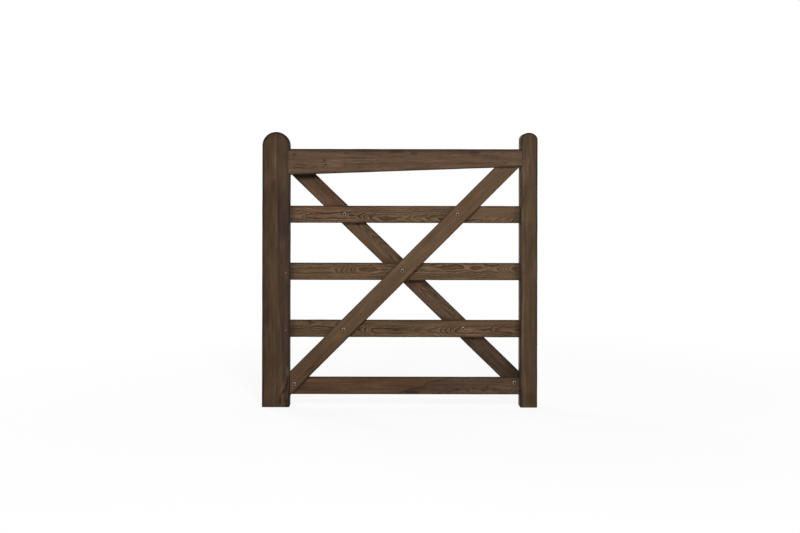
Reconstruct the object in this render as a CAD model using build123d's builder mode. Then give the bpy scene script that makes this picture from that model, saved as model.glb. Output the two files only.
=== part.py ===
from build123d import *
import os
from math import cos, radians, tan

# The leaf of a five-bar timber gate, in millimetres. X runs from the hanging stile to the closing stile,
# the front looks along -Y and Z is up. The origin is on the ground, midway between the outer edges of the
# stiles and midway through their depth.

# Leaf
leaf_width = 1200.0
leaf_height = 1200.0

# Stiles
stile_depth = 70.0
hanging_stile_width = 120.0
closing_stile_width = 75.0
closing_stile_height = leaf_height - 2.0
closing_arch_rise = 30.0
stile_arris = 6.0

# Thin rails, the names from the ground up
rail_names = ("bottom_rail", "lower_rail", "middle_rail", "second_rail")
rail_height = 75.0
rail_depth = 20.0
rail_arris = 3.0
bottom_rail_centre = 90.5
rail_pitch = 250.0

# Top rail, tapered along its underside from heel to toe
top_rail_top = 1126.0
top_rail_heel = 113.0
top_rail_toe = 76.0
top_rail_depth = 66.0
top_rail_arris = 4.0
housing_depth = 7.0

# Tenons, measured from the inner face of the stile
hanging_tenon_length = 70.0
closing_tenon_length = 50.0
rail_tenon_height = 62.0
rail_tenon_depth = 16.0
top_tenon_shoulder = 20.0
top_tenon_depth = 24.0

# Braces: where each centre line meets its stile, and its angle to the ground
brace_width = 75.0
brace_depth = 20.0
brace_arris = 3.0
front_brace_foot = 100.0
front_brace_angle = 45.0
back_brace_foot = 100.5
back_brace_angle = 44.0
brace_end_gap = 2.0
stub_shoulder = 10.0
stub_length = 20.0
stub_root = 5.0
stub_depth = 12.0

# Bolts and their sleeve nuts
head_radius = 8.5
head_rim = 1.4
head_height = 3.2
shank_radius = 4.0
shank_chamfer = 1.0
shank_end_gap = 4.0
hex_radius = 3.4
hex_depth = 3.0
nut_flange_height = 2.5
nut_flange_chamfer = 0.8
sleeve_radius = 5.0
sleeve_length = 17.0
low_bolt_inset = 22.0
low_bolt_lift = 10.0

# How far right and up of its place on the centre lines each bolt was drilled
bolt_offsets = {
    "second_rail_left": (-1.0, 0.0),
    "second_rail_right": (-9.0, 0.0),
    "middle_rail": (-3.0, 1.0),
    "lower_rail_left": (-5.0, -2.0),
    "lower_rail_right": (1.0, 0.0),
    "bottom_rail_left": (-1.0, 0.0),
    "bottom_rail_right": (0.0, 4.0),
}

# Dowel pins
pin_radius = 4.0
pin_inset = 17.0
pin_drop = 4.5
pin_recess = 0.3
pin_chamfer = 0.4
top_pin_spread = 0.5

# Play left in the joints, on each side, and at the blind end of a mortise
mortise_play = 0.2
mortise_end_play = 1.0
hole_play = 0.1

# Worked out from the sizes above
hanging_inner = hanging_stile_width - leaf_width / 2
closing_inner = leaf_width / 2 - closing_stile_width
opening_width = closing_inner - hanging_inner
rail_centres = {name: bottom_rail_centre + rail_pitch * step for step, name in enumerate(rail_names)}
front_rise = tan(radians(front_brace_angle))
back_rise = -tan(radians(back_brace_angle))
underside_slope = (top_rail_heel - top_rail_toe) / opening_width
board_faces = {name: (-rail_depth / 2, rail_depth / 2) for name in rail_names}
board_faces["front_brace"] = (-rail_depth / 2 - brace_depth, -rail_depth / 2)
board_faces["back_brace"] = (rail_depth / 2, rail_depth / 2 + brace_depth)


def underside(x):
    """Height of the top rail's underside at x."""
    return top_rail_top - top_rail_heel + underside_slope * (x - hanging_inner)


def front_line(x, offset=0.0):
    """Height at x of a line along the front brace, offset square to its centre line."""
    return front_brace_foot + front_rise * (x - hanging_inner) + offset / cos(radians(front_brace_angle))


def back_line(x, offset=0.0):
    """Height at x of a line along the back brace, offset square to its centre line."""
    return back_brace_foot + back_rise * (x - closing_inner) + offset / cos(radians(back_brace_angle))


def meets_top_rail(line, offset, lift):
    """Point where a brace line reaches a given height above the top rail's underside."""
    gap_at_zero = line(0.0, offset) - underside(0.0) - lift
    closing_rate = line(1.0, offset) - line(0.0, offset) - underside_slope
    x = -gap_at_zero / closing_rate
    return x, underside(x) + lift


def rail_crossing(line, rise, height):
    """Point where a brace's centre line crosses a given height."""
    return (height - line(0.0)) / rise, height


def stub_outline(line, play):
    """Corners of the stub tenon at the top of a brace, grown by some play."""
    reach = brace_width / 2 - stub_shoulder + play
    return [
        meets_top_rail(line, -reach, -stub_root),
        meets_top_rail(line, reach, -stub_root),
        meets_top_rail(line, reach, stub_length + play),
        meets_top_rail(line, -reach, stub_length + play),
    ]


def tenon_end(side):
    """Inner face and tenon length at a stile, with the direction into the timber."""
    if side == "hanging":
        return hanging_inner, hanging_tenon_length, -1.0
    return closing_inner, closing_tenon_length, 1.0


def top_tenon_span(side):
    """Centre height and height of the top rail's tenon at a stile."""
    inner, _, into = tenon_end(side)
    rail_end = top_rail_top - underside(inner + into * housing_depth)
    return top_rail_top - rail_end / 2, rail_end - 2 * top_tenon_shoulder


def pin_sites(side):
    """Places of the dowel pins at a stile, by the name that each pin takes."""
    inner, _, into = tenon_end(side)
    x = inner + into * pin_inset
    sites = {f"pin_{name}_{side}": (x, height - pin_drop) for name, height in rail_centres.items()}
    middle, span = top_tenon_span(side)
    sites[f"pin_top_rail_{side}_upper"] = (x, middle + span * top_pin_spread / 2)
    sites[f"pin_top_rail_{side}_lower"] = (x, middle - span * top_pin_spread / 2)
    return sites


def drilled(name, place):
    """Place of a bolt, moved from the centre lines by its own offset."""
    return tuple(level + shift for level, shift in zip(place, bolt_offsets[name]))


# Each bolt's place, and the boards that it draws together from front to back
front_at = {name: rail_crossing(front_line, front_rise, z) for name, z in rail_centres.items()}
back_at = {name: rail_crossing(back_line, back_rise, z) for name, z in rail_centres.items()}
crossing_x = (back_line(0.0) - front_line(0.0)) / (front_rise - back_rise)
low_bolt_height = bottom_rail_centre + low_bolt_lift
bolt_plan = {
    "second_rail_left": (back_at["second_rail"], ("second_rail", "back_brace")),
    "second_rail_right": (front_at["second_rail"], ("front_brace", "second_rail")),
    "middle_rail": ((crossing_x, front_line(crossing_x)), ("front_brace", "middle_rail", "back_brace")),
    "lower_rail_left": (front_at["lower_rail"], ("front_brace", "lower_rail")),
    "lower_rail_right": (back_at["lower_rail"], ("lower_rail", "back_brace")),
    "bottom_rail_left": ((hanging_inner + low_bolt_inset, low_bolt_height), ("front_brace", "bottom_rail")),
    "bottom_rail_right": ((closing_inner - low_bolt_inset, low_bolt_height), ("bottom_rail", "back_brace")),
}
bolt_sites = {name: (drilled(name, place), boards) for name, (place, boards) in bolt_plan.items()}


def bolt_holes(board):
    """Places and radii of a board's bolt holes: the rearmost board takes the sleeve of the nut."""
    holes = []
    for place, boards in bolt_sites.values():
        if board in boards:
            radius = sleeve_radius if board == boards[-1] else shank_radius
            holes.append((place, radius + hole_play))
    return holes


def drill(holes):
    """Cut round holes right through the current part from front to back."""
    for place, radius in holes:
        with BuildSketch(Plane.XZ) as hole:
            with Locations(place):
                Circle(radius)
        extrude(hole.sketch, amount=stile_depth, both=True, mode=Mode.SUBTRACT)


def pin_holes(sites):
    """Places and radii of the holes for some dowel pins."""
    return [(place, pin_radius + hole_play) for place in sites]


def finish(part, label):
    """Name a finished piece and write it out."""
    part.label = label
    export_step(part, f"parts/{label}.step")


def make_stile(label, side, outer, height, arch_rise):
    """An upright with an arched top, mortises, the housing of the top rail and pin holes."""
    inner, tenon_length, into = tenon_end(side)
    half_width = abs(outer - inner) / 2
    middle = (outer + inner) / 2
    spring = height - arch_rise
    mortise_length = tenon_length + mortise_end_play
    top_middle, top_span = top_tenon_span(side)
    housing_end = inner + into * (housing_depth + mortise_play)
    with BuildPart() as stile:
        with BuildSketch(Plane.XZ):
            with BuildLine():
                Polyline(
                    (middle + half_width, spring),
                    (middle + half_width, 0),
                    (middle - half_width, 0),
                    (middle - half_width, spring),
                )
                EllipticalCenterArc((middle, spring), half_width, arch_rise, 0, arc_size=180)
            make_face()
        extrude(amount=stile_depth / 2, both=True)
        faces = stile.faces().sort_by(Axis.Y)
        outline = faces[0].edges() + faces[-1].edges()
        fillet(outline.filter_by(Axis.X, reverse=True), stile_arris)
        with Locations(*[(inner + into * mortise_length / 2, 0, z) for z in rail_centres.values()]):
            Box(
                mortise_length,
                rail_tenon_depth + 2 * mortise_play,
                rail_tenon_height + 2 * mortise_play,
                mode=Mode.SUBTRACT,
            )
        with Locations((inner + into * mortise_length / 2, 0, top_middle)):
            Box(
                mortise_length,
                top_tenon_depth + 2 * mortise_play,
                top_span + 2 * mortise_play,
                mode=Mode.SUBTRACT,
            )
        with BuildSketch(Plane.XZ):
            with BuildLine():
                Polyline(
                    (inner - into, top_rail_top + mortise_play),
                    (housing_end, top_rail_top + mortise_play),
                    (housing_end, underside(housing_end) - mortise_play),
                    (inner - into, underside(inner - into) - mortise_play),
                    close=True,
                )
            make_face()
        extrude(amount=stile_depth, both=True, mode=Mode.SUBTRACT)
        drill(pin_holes(pin_sites(side).values()))
    finish(stile.part, label)


def make_thin_rail(label):
    """A flat rail between the stiles, with a shouldered tenon at each end."""
    height = rail_centres[label]
    with BuildPart() as rail:
        with Locations(((hanging_inner + closing_inner) / 2, 0, height)):
            Box(opening_width, rail_depth, rail_height)
        fillet(rail.edges().filter_by(Axis.X), rail_arris)
        for side in ("hanging", "closing"):
            inner, tenon_length, into = tenon_end(side)
            with Locations((inner + into * tenon_length / 2, 0, height)):
                Box(tenon_length, rail_tenon_depth, rail_tenon_height)
            drill(pin_holes([pin_sites(side)[f"pin_{label}_{side}"]]))
        drill(bolt_holes(label))
    finish(rail.part, label)


def make_top_rail():
    """The thick top rail: a tapered beam let into both stiles, with sockets for the braces."""
    left = hanging_inner - housing_depth
    right = closing_inner + housing_depth
    with BuildPart() as rail:
        with BuildSketch(Plane.XZ):
            with BuildLine():
                Polyline(
                    (left, underside(left)),
                    (right, underside(right)),
                    (right, top_rail_top),
                    (left, top_rail_top),
                    close=True,
                )
            make_face()
        extrude(amount=top_rail_depth / 2, both=True)
        fillet(rail.edges().filter_by(lambda edge: edge.length > opening_width), top_rail_arris)
        for side in ("hanging", "closing"):
            inner, tenon_length, into = tenon_end(side)
            reach = tenon_length - housing_depth
            middle, span = top_tenon_span(side)
            with Locations((inner + into * (housing_depth + reach / 2), 0, middle)):
                Box(reach, top_tenon_depth, span)
            ends = ("upper", "lower")
            drill(pin_holes([pin_sites(side)[f"pin_top_rail_{side}_{end}"] for end in ends]))
        for board, line in (("front_brace", front_line), ("back_brace", back_line)):
            brace_middle = sum(board_faces[board]) / 2
            with BuildSketch(Plane.XZ.offset(-brace_middle)):
                with BuildLine():
                    Polyline(*stub_outline(line, mortise_play), close=True)
                make_face()
            extrude(amount=stub_depth / 2 + mortise_play, both=True, mode=Mode.SUBTRACT)
    finish(rail.part, "top_rail")


def make_brace(label, line, rise, end_x, foot_level):
    """A flat diagonal, cut upright beside its stile and along the top rail, with a stub tenon on top."""
    front, back = board_faces[label]
    edge = brace_width / 2
    with BuildPart() as brace:
        with BuildSketch(Plane.XZ.offset(-back)):
            with BuildLine():
                Polyline(
                    (end_x, line(end_x, -edge)),
                    (end_x, line(end_x, edge)),
                    meets_top_rail(line, edge, 0.0),
                    meets_top_rail(line, -edge, 0.0),
                    close=True,
                )
            make_face()
        extrude(amount=brace_depth)
        fillet(brace.edges().filter_by(Axis((0, 0, 0), (1, 0, rise))), brace_arris)
        split(bisect_by=Plane.XY.offset(foot_level), keep=Keep.TOP)
        with BuildSketch(Plane.XZ.offset(-(front + back) / 2)):
            with BuildLine():
                Polyline(*stub_outline(line, 0.0), close=True)
            make_face()
        extrude(amount=stub_depth / 2, both=True)
        drill(bolt_holes(label))
    finish(brace.part, label)


def make_bolt(label, place, front, back):
    """A bolt with a low domed head, a hexagon socket and a plain shank that ends inside its nut."""
    x, z = place
    shank_end = back - front - shank_end_gap
    with BuildPart() as bolt:
        with BuildSketch(Plane((x, front, z))):
            with BuildLine():
                Polyline(
                    (0, -head_height),
                    (0, shank_end),
                    (shank_radius - shank_chamfer, shank_end),
                    (shank_radius, shank_end - shank_chamfer),
                    (shank_radius, 0),
                    (head_radius, 0),
                    (head_radius, -head_rim),
                )
                TangentArc((0, -head_height), (head_radius, -head_rim), tangent=(1, 0))
            make_face()
        revolve(axis=Axis((x, front, z), (0, 1, 0)))
        with BuildSketch(Plane((x, front - head_height, z), x_dir=(1, 0, 0), z_dir=(0, -1, 0))):
            RegularPolygon(hex_radius, side_count=6)
        extrude(amount=hex_depth, both=True, mode=Mode.SUBTRACT)
    finish(bolt.part, label)


def make_sleeve_nut(label, place, back):
    """A nut with a flat flange behind the rearmost board and a sleeve that reaches into it."""
    x, z = place
    bore_radius = shank_radius + hole_play
    with BuildPart() as nut:
        with BuildSketch(Plane((x, back, z))):
            with BuildLine():
                Polyline(
                    (0, 0),
                    (0, nut_flange_height),
                    (head_radius - nut_flange_chamfer, nut_flange_height),
                    (head_radius, nut_flange_height - nut_flange_chamfer),
                    (head_radius, 0),
                    (sleeve_radius, 0),
                    (sleeve_radius, -sleeve_length),
                    (bore_radius, -sleeve_length),
                    (bore_radius, 0),
                    close=True,
                )
            make_face()
        revolve(axis=Axis((x, back, z), (0, 1, 0)))
    finish(nut.part, label)


def make_pin(label, place):
    """A dowel pin through stile and tenon, cut just below both faces of the stile."""
    with BuildPart() as pin:
        with BuildSketch(Plane.XZ):
            with Locations(place):
                Circle(pin_radius)
        extrude(amount=stile_depth / 2 - pin_recess, both=True)
        chamfer(pin.edges().filter_by(GeomType.CIRCLE), pin_chamfer)
    finish(pin.part, label)


os.makedirs("parts", exist_ok=True)
make_stile("hanging_stile", "hanging", -leaf_width / 2, leaf_height, hanging_stile_width / 2)
make_stile("closing_stile", "closing", leaf_width / 2, closing_stile_height, closing_arch_rise)
make_top_rail()
for rail_name in rail_names:
    make_thin_rail(rail_name)
bottom_rail_underside = bottom_rail_centre - rail_height / 2
make_brace("front_brace", front_line, front_rise, hanging_inner + brace_end_gap, 0.0)
make_brace("back_brace", back_line, back_rise, closing_inner - brace_end_gap, bottom_rail_underside)
for site_name, (site, site_boards) in bolt_sites.items():
    front_face = board_faces[site_boards[0]][0]
    back_face = board_faces[site_boards[-1]][1]
    make_bolt(f"bolt_{site_name}", site, front_face, back_face)
    make_sleeve_nut(f"sleeve_nut_{site_name}", site, back_face)
for stile_side in ("hanging", "closing"):
    for pin_name, pin_site in pin_sites(stile_side).items():
        make_pin(pin_name, pin_site)
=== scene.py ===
"""Looks of a five-bar timber gate leaf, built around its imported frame.

Everything is in metres in the frame's own axes: X runs from the hanging stile to the closing stile, the front
looks along -Y and Z is up. Sizes inside a finish are in millimetres, because grain is read in millimetres.
"""
import logging
import math
from dataclasses import dataclass
from dataclasses import field
from dataclasses import replace
from enum import Enum

import bmesh
import bpy
import numpy as np
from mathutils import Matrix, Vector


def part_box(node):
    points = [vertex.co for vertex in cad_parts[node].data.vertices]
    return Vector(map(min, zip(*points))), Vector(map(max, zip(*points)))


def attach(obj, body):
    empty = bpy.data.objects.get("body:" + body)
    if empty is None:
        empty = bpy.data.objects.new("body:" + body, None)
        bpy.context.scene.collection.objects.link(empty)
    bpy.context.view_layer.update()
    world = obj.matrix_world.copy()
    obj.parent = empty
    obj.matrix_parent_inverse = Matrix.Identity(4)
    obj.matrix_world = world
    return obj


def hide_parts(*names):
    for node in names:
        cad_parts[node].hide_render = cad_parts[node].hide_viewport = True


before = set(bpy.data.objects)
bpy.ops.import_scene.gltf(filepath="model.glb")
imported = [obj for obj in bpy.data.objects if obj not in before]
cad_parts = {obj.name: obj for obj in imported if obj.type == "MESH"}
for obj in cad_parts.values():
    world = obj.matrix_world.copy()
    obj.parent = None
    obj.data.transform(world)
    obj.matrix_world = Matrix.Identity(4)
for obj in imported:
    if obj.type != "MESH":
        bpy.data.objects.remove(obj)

LOG = logging.getLogger("gate")
Array = np.ndarray
Random = np.random.Generator
Material = bpy.types.Material
Socket = bpy.types.NodeSocket
Tree = bpy.types.NodeTree
MM = 0.001
BODY = "root"
WELD = 1e-6
CREASE = math.radians(38)
QUARTER_TURN = math.pi / 2
WHITE = (1.0, 1.0, 1.0, 1.0)

# Joinery that the boxes of the frame don't tell
HOUSING = 7 * MM
TENON_ARRIS = 0.5 * MM
TENON_SECTIONS = 8
TOP_RAIL_TOE = 76 * MM
TOP_RAIL_HEEL = 113 * MM

# Settings that many nodes share: a MapRange that eases in and out, and a Mix of two colours
SOFT = {"interpolation_type": "SMOOTHSTEP"}
COLOURS = {"out": 2, "data_type": "RGBA"}


def linear(code: str) -> tuple[float, float, float, float]:
    """Turns an sRGB hex colour to linear light.

    Args:
        code: The colour, such as "#6b5745".

    Returns:
        Red, green, blue and an alpha of 1.
    """
    srgb = np.array([int(code[place:place + 2], 16) for place in (1, 3, 5)]) / 255
    light = np.where(srgb <= 0.04045, srgb / 12.92, ((srgb + 0.055) / 1.055) ** 2.4)
    return (*light.tolist(), 1.0)


def add(
    tree: Tree, kind: str, feeds: dict | None = None, out: int | str = 0, **settings: object
) -> Socket | None:
    """Adds one node with its settings and links.

    Args:
        tree: The tree that takes the node.
        kind: The node's type, without the words that every type starts with.
        feeds: For each input, by name or number, the output that feeds it or its own value. A MapRange counts
            its value, the two ends of the range it comes from and the two ends of the one it goes to.
        out: The output to give back, by name or number.
        **settings: The node's properties.

    Returns:
        The chosen output, or nothing for a node without outputs.
    """
    node = tree.nodes.new(f"ShaderNode{kind}")
    for name, value in settings.items():
        setattr(node, name, value)
    for key, value in (feeds or {}).items():
        if isinstance(value, Socket):
            tree.links.new(value, node.inputs[key])
        else:
            node.inputs[key].default_value = value
    return node.outputs[out] if node.outputs else None


def blank(name: str) -> tuple[Material, Tree]:
    """Makes a material without nodes.

    Args:
        name: Name of the material.

    Returns:
        The material and its empty tree.
    """
    material = bpy.data.materials.new(name)
    material.use_nodes = True
    material.node_tree.nodes.clear()
    return material, material.node_tree


def middle_of(node: str) -> Array:
    """Middle of a node's box."""
    return np.mean([np.array(corner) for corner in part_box(node)], axis=0)


def opening() -> tuple[float, float]:
    """X of the stiles' faces that look at each other, left and right."""
    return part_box("hanging_stile")[1].x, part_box("closing_stile")[0].x


def named(start: str, word: str = "") -> list[str]:
    """Nodes whose names start in one way and hold a word, in order."""
    return sorted(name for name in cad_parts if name.startswith(start) and word in name)


def swell(rng: Random, along: Array, across: Array, height: float, lengths: tuple[float, float]) -> Array:
    """Gentle unevenness left by planing and drying.

    The height is a sum of seven plane waves, sin(2 pi (k along + l across + phase)), with seeded numbers.

    Args:
        rng: Source of the seeded draws.
        along: Places along the grain.
        across: Places across the grain.
        height: Usual height of the unevenness.
        lengths: Usual wave lengths along and across the grain.

    Returns:
        The height at each place.
    """
    waves = 7
    total = np.zeros(np.broadcast(along, across).shape)
    for _ in range(waves):
        pitch = rng.uniform(0.5, 1.6) / lengths[0]
        slant = rng.uniform(-1.0, 1.0) / lengths[1]
        total = total + np.sin(2 * math.pi * (pitch * along + slant * across + rng.uniform()))
    return height * total / math.sqrt(waves)


@dataclass
class Shell:
    """A closed surface, put together from grids of points and welded where they meet."""

    points: list[Array] = field(default_factory=list)
    quads: list[Array] = field(default_factory=list)
    marks: dict[str, list[Array]] = field(default_factory=dict)

    def lay(self, x: Array, y: Array, z: Array, wrap: bool, **marks: Array | float) -> None:
        """Adds one grid of points, numbered row after row, with a quad between each four neighbours.

        Args:
            x: X of each point, as far as it differs over the rows and columns.
            y: Y of each point.
            z: Z of each point.
            wrap: Whether the last column joins the first.
            **marks: Values kept on the points for the finishes to read.
        """
        grid = np.stack(np.broadcast_arrays(x, y, z), axis=-1)
        rows, columns, _ = grid.shape
        first = sum(map(len, self.points)) + np.arange(rows - 1)[:, None] * columns
        left = np.arange(columns if wrap else columns - 1)
        right = (left + 1) % columns
        corners = (first + left, first + right, first + columns + right, first + columns + left)
        self.points.append(grid.reshape(-1, 3))
        self.quads.append(np.stack(corners, axis=-1).reshape(-1, 4))
        for name, values in marks.items():
            self.marks.setdefault(name, []).append(np.broadcast_to(values, (rows, columns)).reshape(-1))

    def install(self, node: str, stuff: str, slot: str, material: Material) -> None:
        """Welds the grids to one smooth mesh with outward faces and puts it in place of a node.

        Args:
            node: The node that the piece stands for.
            stuff: What the piece is made of, which ends its name.
            slot: The piece's material slot; not used.
            material: Its finish.
        """
        name = f"{node}_{stuff}"
        mesh = bpy.data.meshes.new(name)
        mesh.from_pydata(np.concatenate(self.points).tolist(), [], np.concatenate(self.quads).tolist())
        for mark, parts in self.marks.items():
            layer = mesh.attributes.new(mark, "FLOAT", "POINT")
            layer.data.foreach_set("value", np.concatenate(parts).astype(np.float32))
        work = bmesh.new()
        work.from_mesh(mesh)
        bmesh.ops.remove_doubles(work, verts=work.verts, dist=WELD)
        bmesh.ops.recalc_face_normals(work, faces=work.faces)
        if work.calc_volume(signed=True) < 0:
            bmesh.ops.reverse_faces(work, faces=work.faces)
        work.to_mesh(mesh)
        work.free()
        mesh.polygons.foreach_set("use_smooth", np.ones(len(mesh.polygons), dtype=bool))
        mesh.set_sharp_from_angle(angle=CREASE)
        mesh.materials.append(material)
        piece = bpy.data.objects.new(name, mesh)
        bpy.context.scene.collection.objects.link(piece)
        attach(piece, BODY)
        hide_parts(node)
        LOG.info("%s: %d faces", piece.name, len(mesh.polygons))


class Cut(Enum):
    """How a board was sawn: how far the pith lies behind its middle and to its side, in millimetres."""

    FLAT = (14.0, 0.0)
    QUARTER = (8.0, 110.0)


class Spots(Enum):
    """Patterns of soft spots: their length along the grain and width across it, in millimetres, a number that
    tells each pattern from the others, and octaves. The fibres are drawn coarser than real ones.
    """

    WANDER = (240.0, 110.0, 0.0, 1.0)
    BEND = (44.0, 15.0, 5.0, 1.0)
    JAG = (26.0, 7.0, 61.0, 1.0)
    FAINT = (170.0, 38.0, 11.0, 2.0)
    FLUSH = (260.0, 60.0, 17.0, 2.0)
    MOSS = (110.0, 42.0, 41.0, 2.0)
    FIBRE = (150.0, 2.6, 23.0, 3.0)
    STREAK = (190.0, 9.0, 37.0, 2.0)
    BLOTCH = (120.0, 30.0, 29.0, 3.0)
    DASH = (30.0, 4.0, 53.0, 1.0)


class Stain(Enum):
    """Where the stain took differently: its colour there."""

    NONE = ""
    RED = "#6d4b38"
    PURPLE = "#57453f"
    OLIVE = "#615133"
    GREY = "#554739"
    ORANGE = "#80592f"
    CHALK = "#7d7268"


# A mark on a board: where it lies, its brightness, its stain and how strong that is
Mark = tuple[Socket, float, Stain, float]


@dataclass(frozen=True)
class Course:
    """How the rings run along a board: at places along it, in millimetres, where across it the pith lies and
    by how many rings they have risen. Where they rise or fall, the saw leaves flames.
    """

    along: tuple[float, ...] = (-620.0, 620.0)
    sway: tuple[float, ...] = (0.0, 0.0)
    rise: tuple[float, ...] = (0.0, 1.2)


@dataclass(frozen=True)
class Figure:
    """An oval place, in millimetres in the board's axes, where the stain took differently, where a shadow,
    shade or highlight is painted in, or where the rings are lifted or calmed. It is full in its core, which
    is a share of its size, and fades to its rim.
    """

    along: float
    across: float
    length: float
    width: float
    shade: float = 1.0
    stain: Stain = Stain.NONE
    dye: float = 0.5
    turn: float = 0.0
    core: float = 0.35
    lift: float = 0.0
    calm: float = 0.0


@dataclass(frozen=True)
class Seam:
    """A line along the grain, dark itself, with a paler band on one side and stained wood on the other."""

    along: tuple[float, ...]
    across: tuple[float, ...]
    line: float
    width: float
    glow: float
    reach: float
    beyond: float
    stain: Stain
    dye: float
    side: float = 1.0
    bend: float = 4.0


@dataclass(frozen=True)
class Grain:
    """The nodes of one board's finish, which read a place in the board's own axes, in millimetres."""

    tree: Tree
    place: Socket
    seed: float
    apart: tuple[float, float, float] = (3.7, 1.3, 2.1)
    through: float = 1e6

    def mottle(self, spots: Spots) -> Socket:
        """Draws soft spots of a real size.

        Args:
            spots: Their pattern.

        Returns:
            A value about 0.5.
        """
        length, width, draw, octaves = spots.value
        scale = (1 / length, 1 / width, 1 / width)
        start = np.multiply(self.apart, self.seed) + (draw, -draw, 0.0)
        spot = add(self.tree, "VectorMath", {0: self.place, 1: scale, 2: start}, operation="MULTIPLY_ADD")
        return add(self.tree, "TexNoise", {"Vector": spot, "Scale": 1.0, "Detail": octaves})

    def oval(self, figure: Figure) -> Socket:
        """Finds a figure: the distance from its middle, measured in its own length and width, eased off.

        Args:
            figure: The figure.

        Returns:
            1 in its core and 0 past its rim, the same through the whole thickness.
        """
        feeds = {
            "Vector": self.place,
            "Location": (figure.along, 0.0, figure.across),
            "Rotation": (0.0, -math.radians(figure.turn), 0.0),
            "Scale": (figure.length, self.through, figure.width),
        }
        seen = add(self.tree, "Mapping", feeds, vector_type="TEXTURE")
        gap = add(self.tree, "VectorMath", {0: seen}, "Value", operation="LENGTH")
        return add(self.tree, "MapRange", {0: gap, 1: 1.0, 2: figure.core}, **SOFT)

    def traced(self, along: Socket, places: tuple[float, ...], values: tuple[float, ...]) -> Socket:
        """Draws a smooth curve through values at places along the board.

        Args:
            along: Place along the board.
            places: Where the values stand.
            values: The values.

        Returns:
            The curve's value here.
        """
        low = min(values) - 1.0
        high = max(values) + 1.0
        share = add(self.tree, "MapRange", {0: along, 1: places[0], 2: places[-1]})
        curve = add(self.tree, "FloatCurve", {"Value": share})
        shares = np.interp(places, (places[0], places[-1]), (0, 1))
        spots = np.stack((shares, np.interp(values, (low, high), (0, 1))), axis=1).tolist()
        points = curve.node.mapping.curves[0].points
        points[0].location = spots[0]
        points[1].location = spots[-1]
        for spot in spots[1:-1]:
            points.new(*spot)
        curve.node.mapping.update()
        return add(self.tree, "MapRange", {0: curve, 3: low, 4: high})


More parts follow.
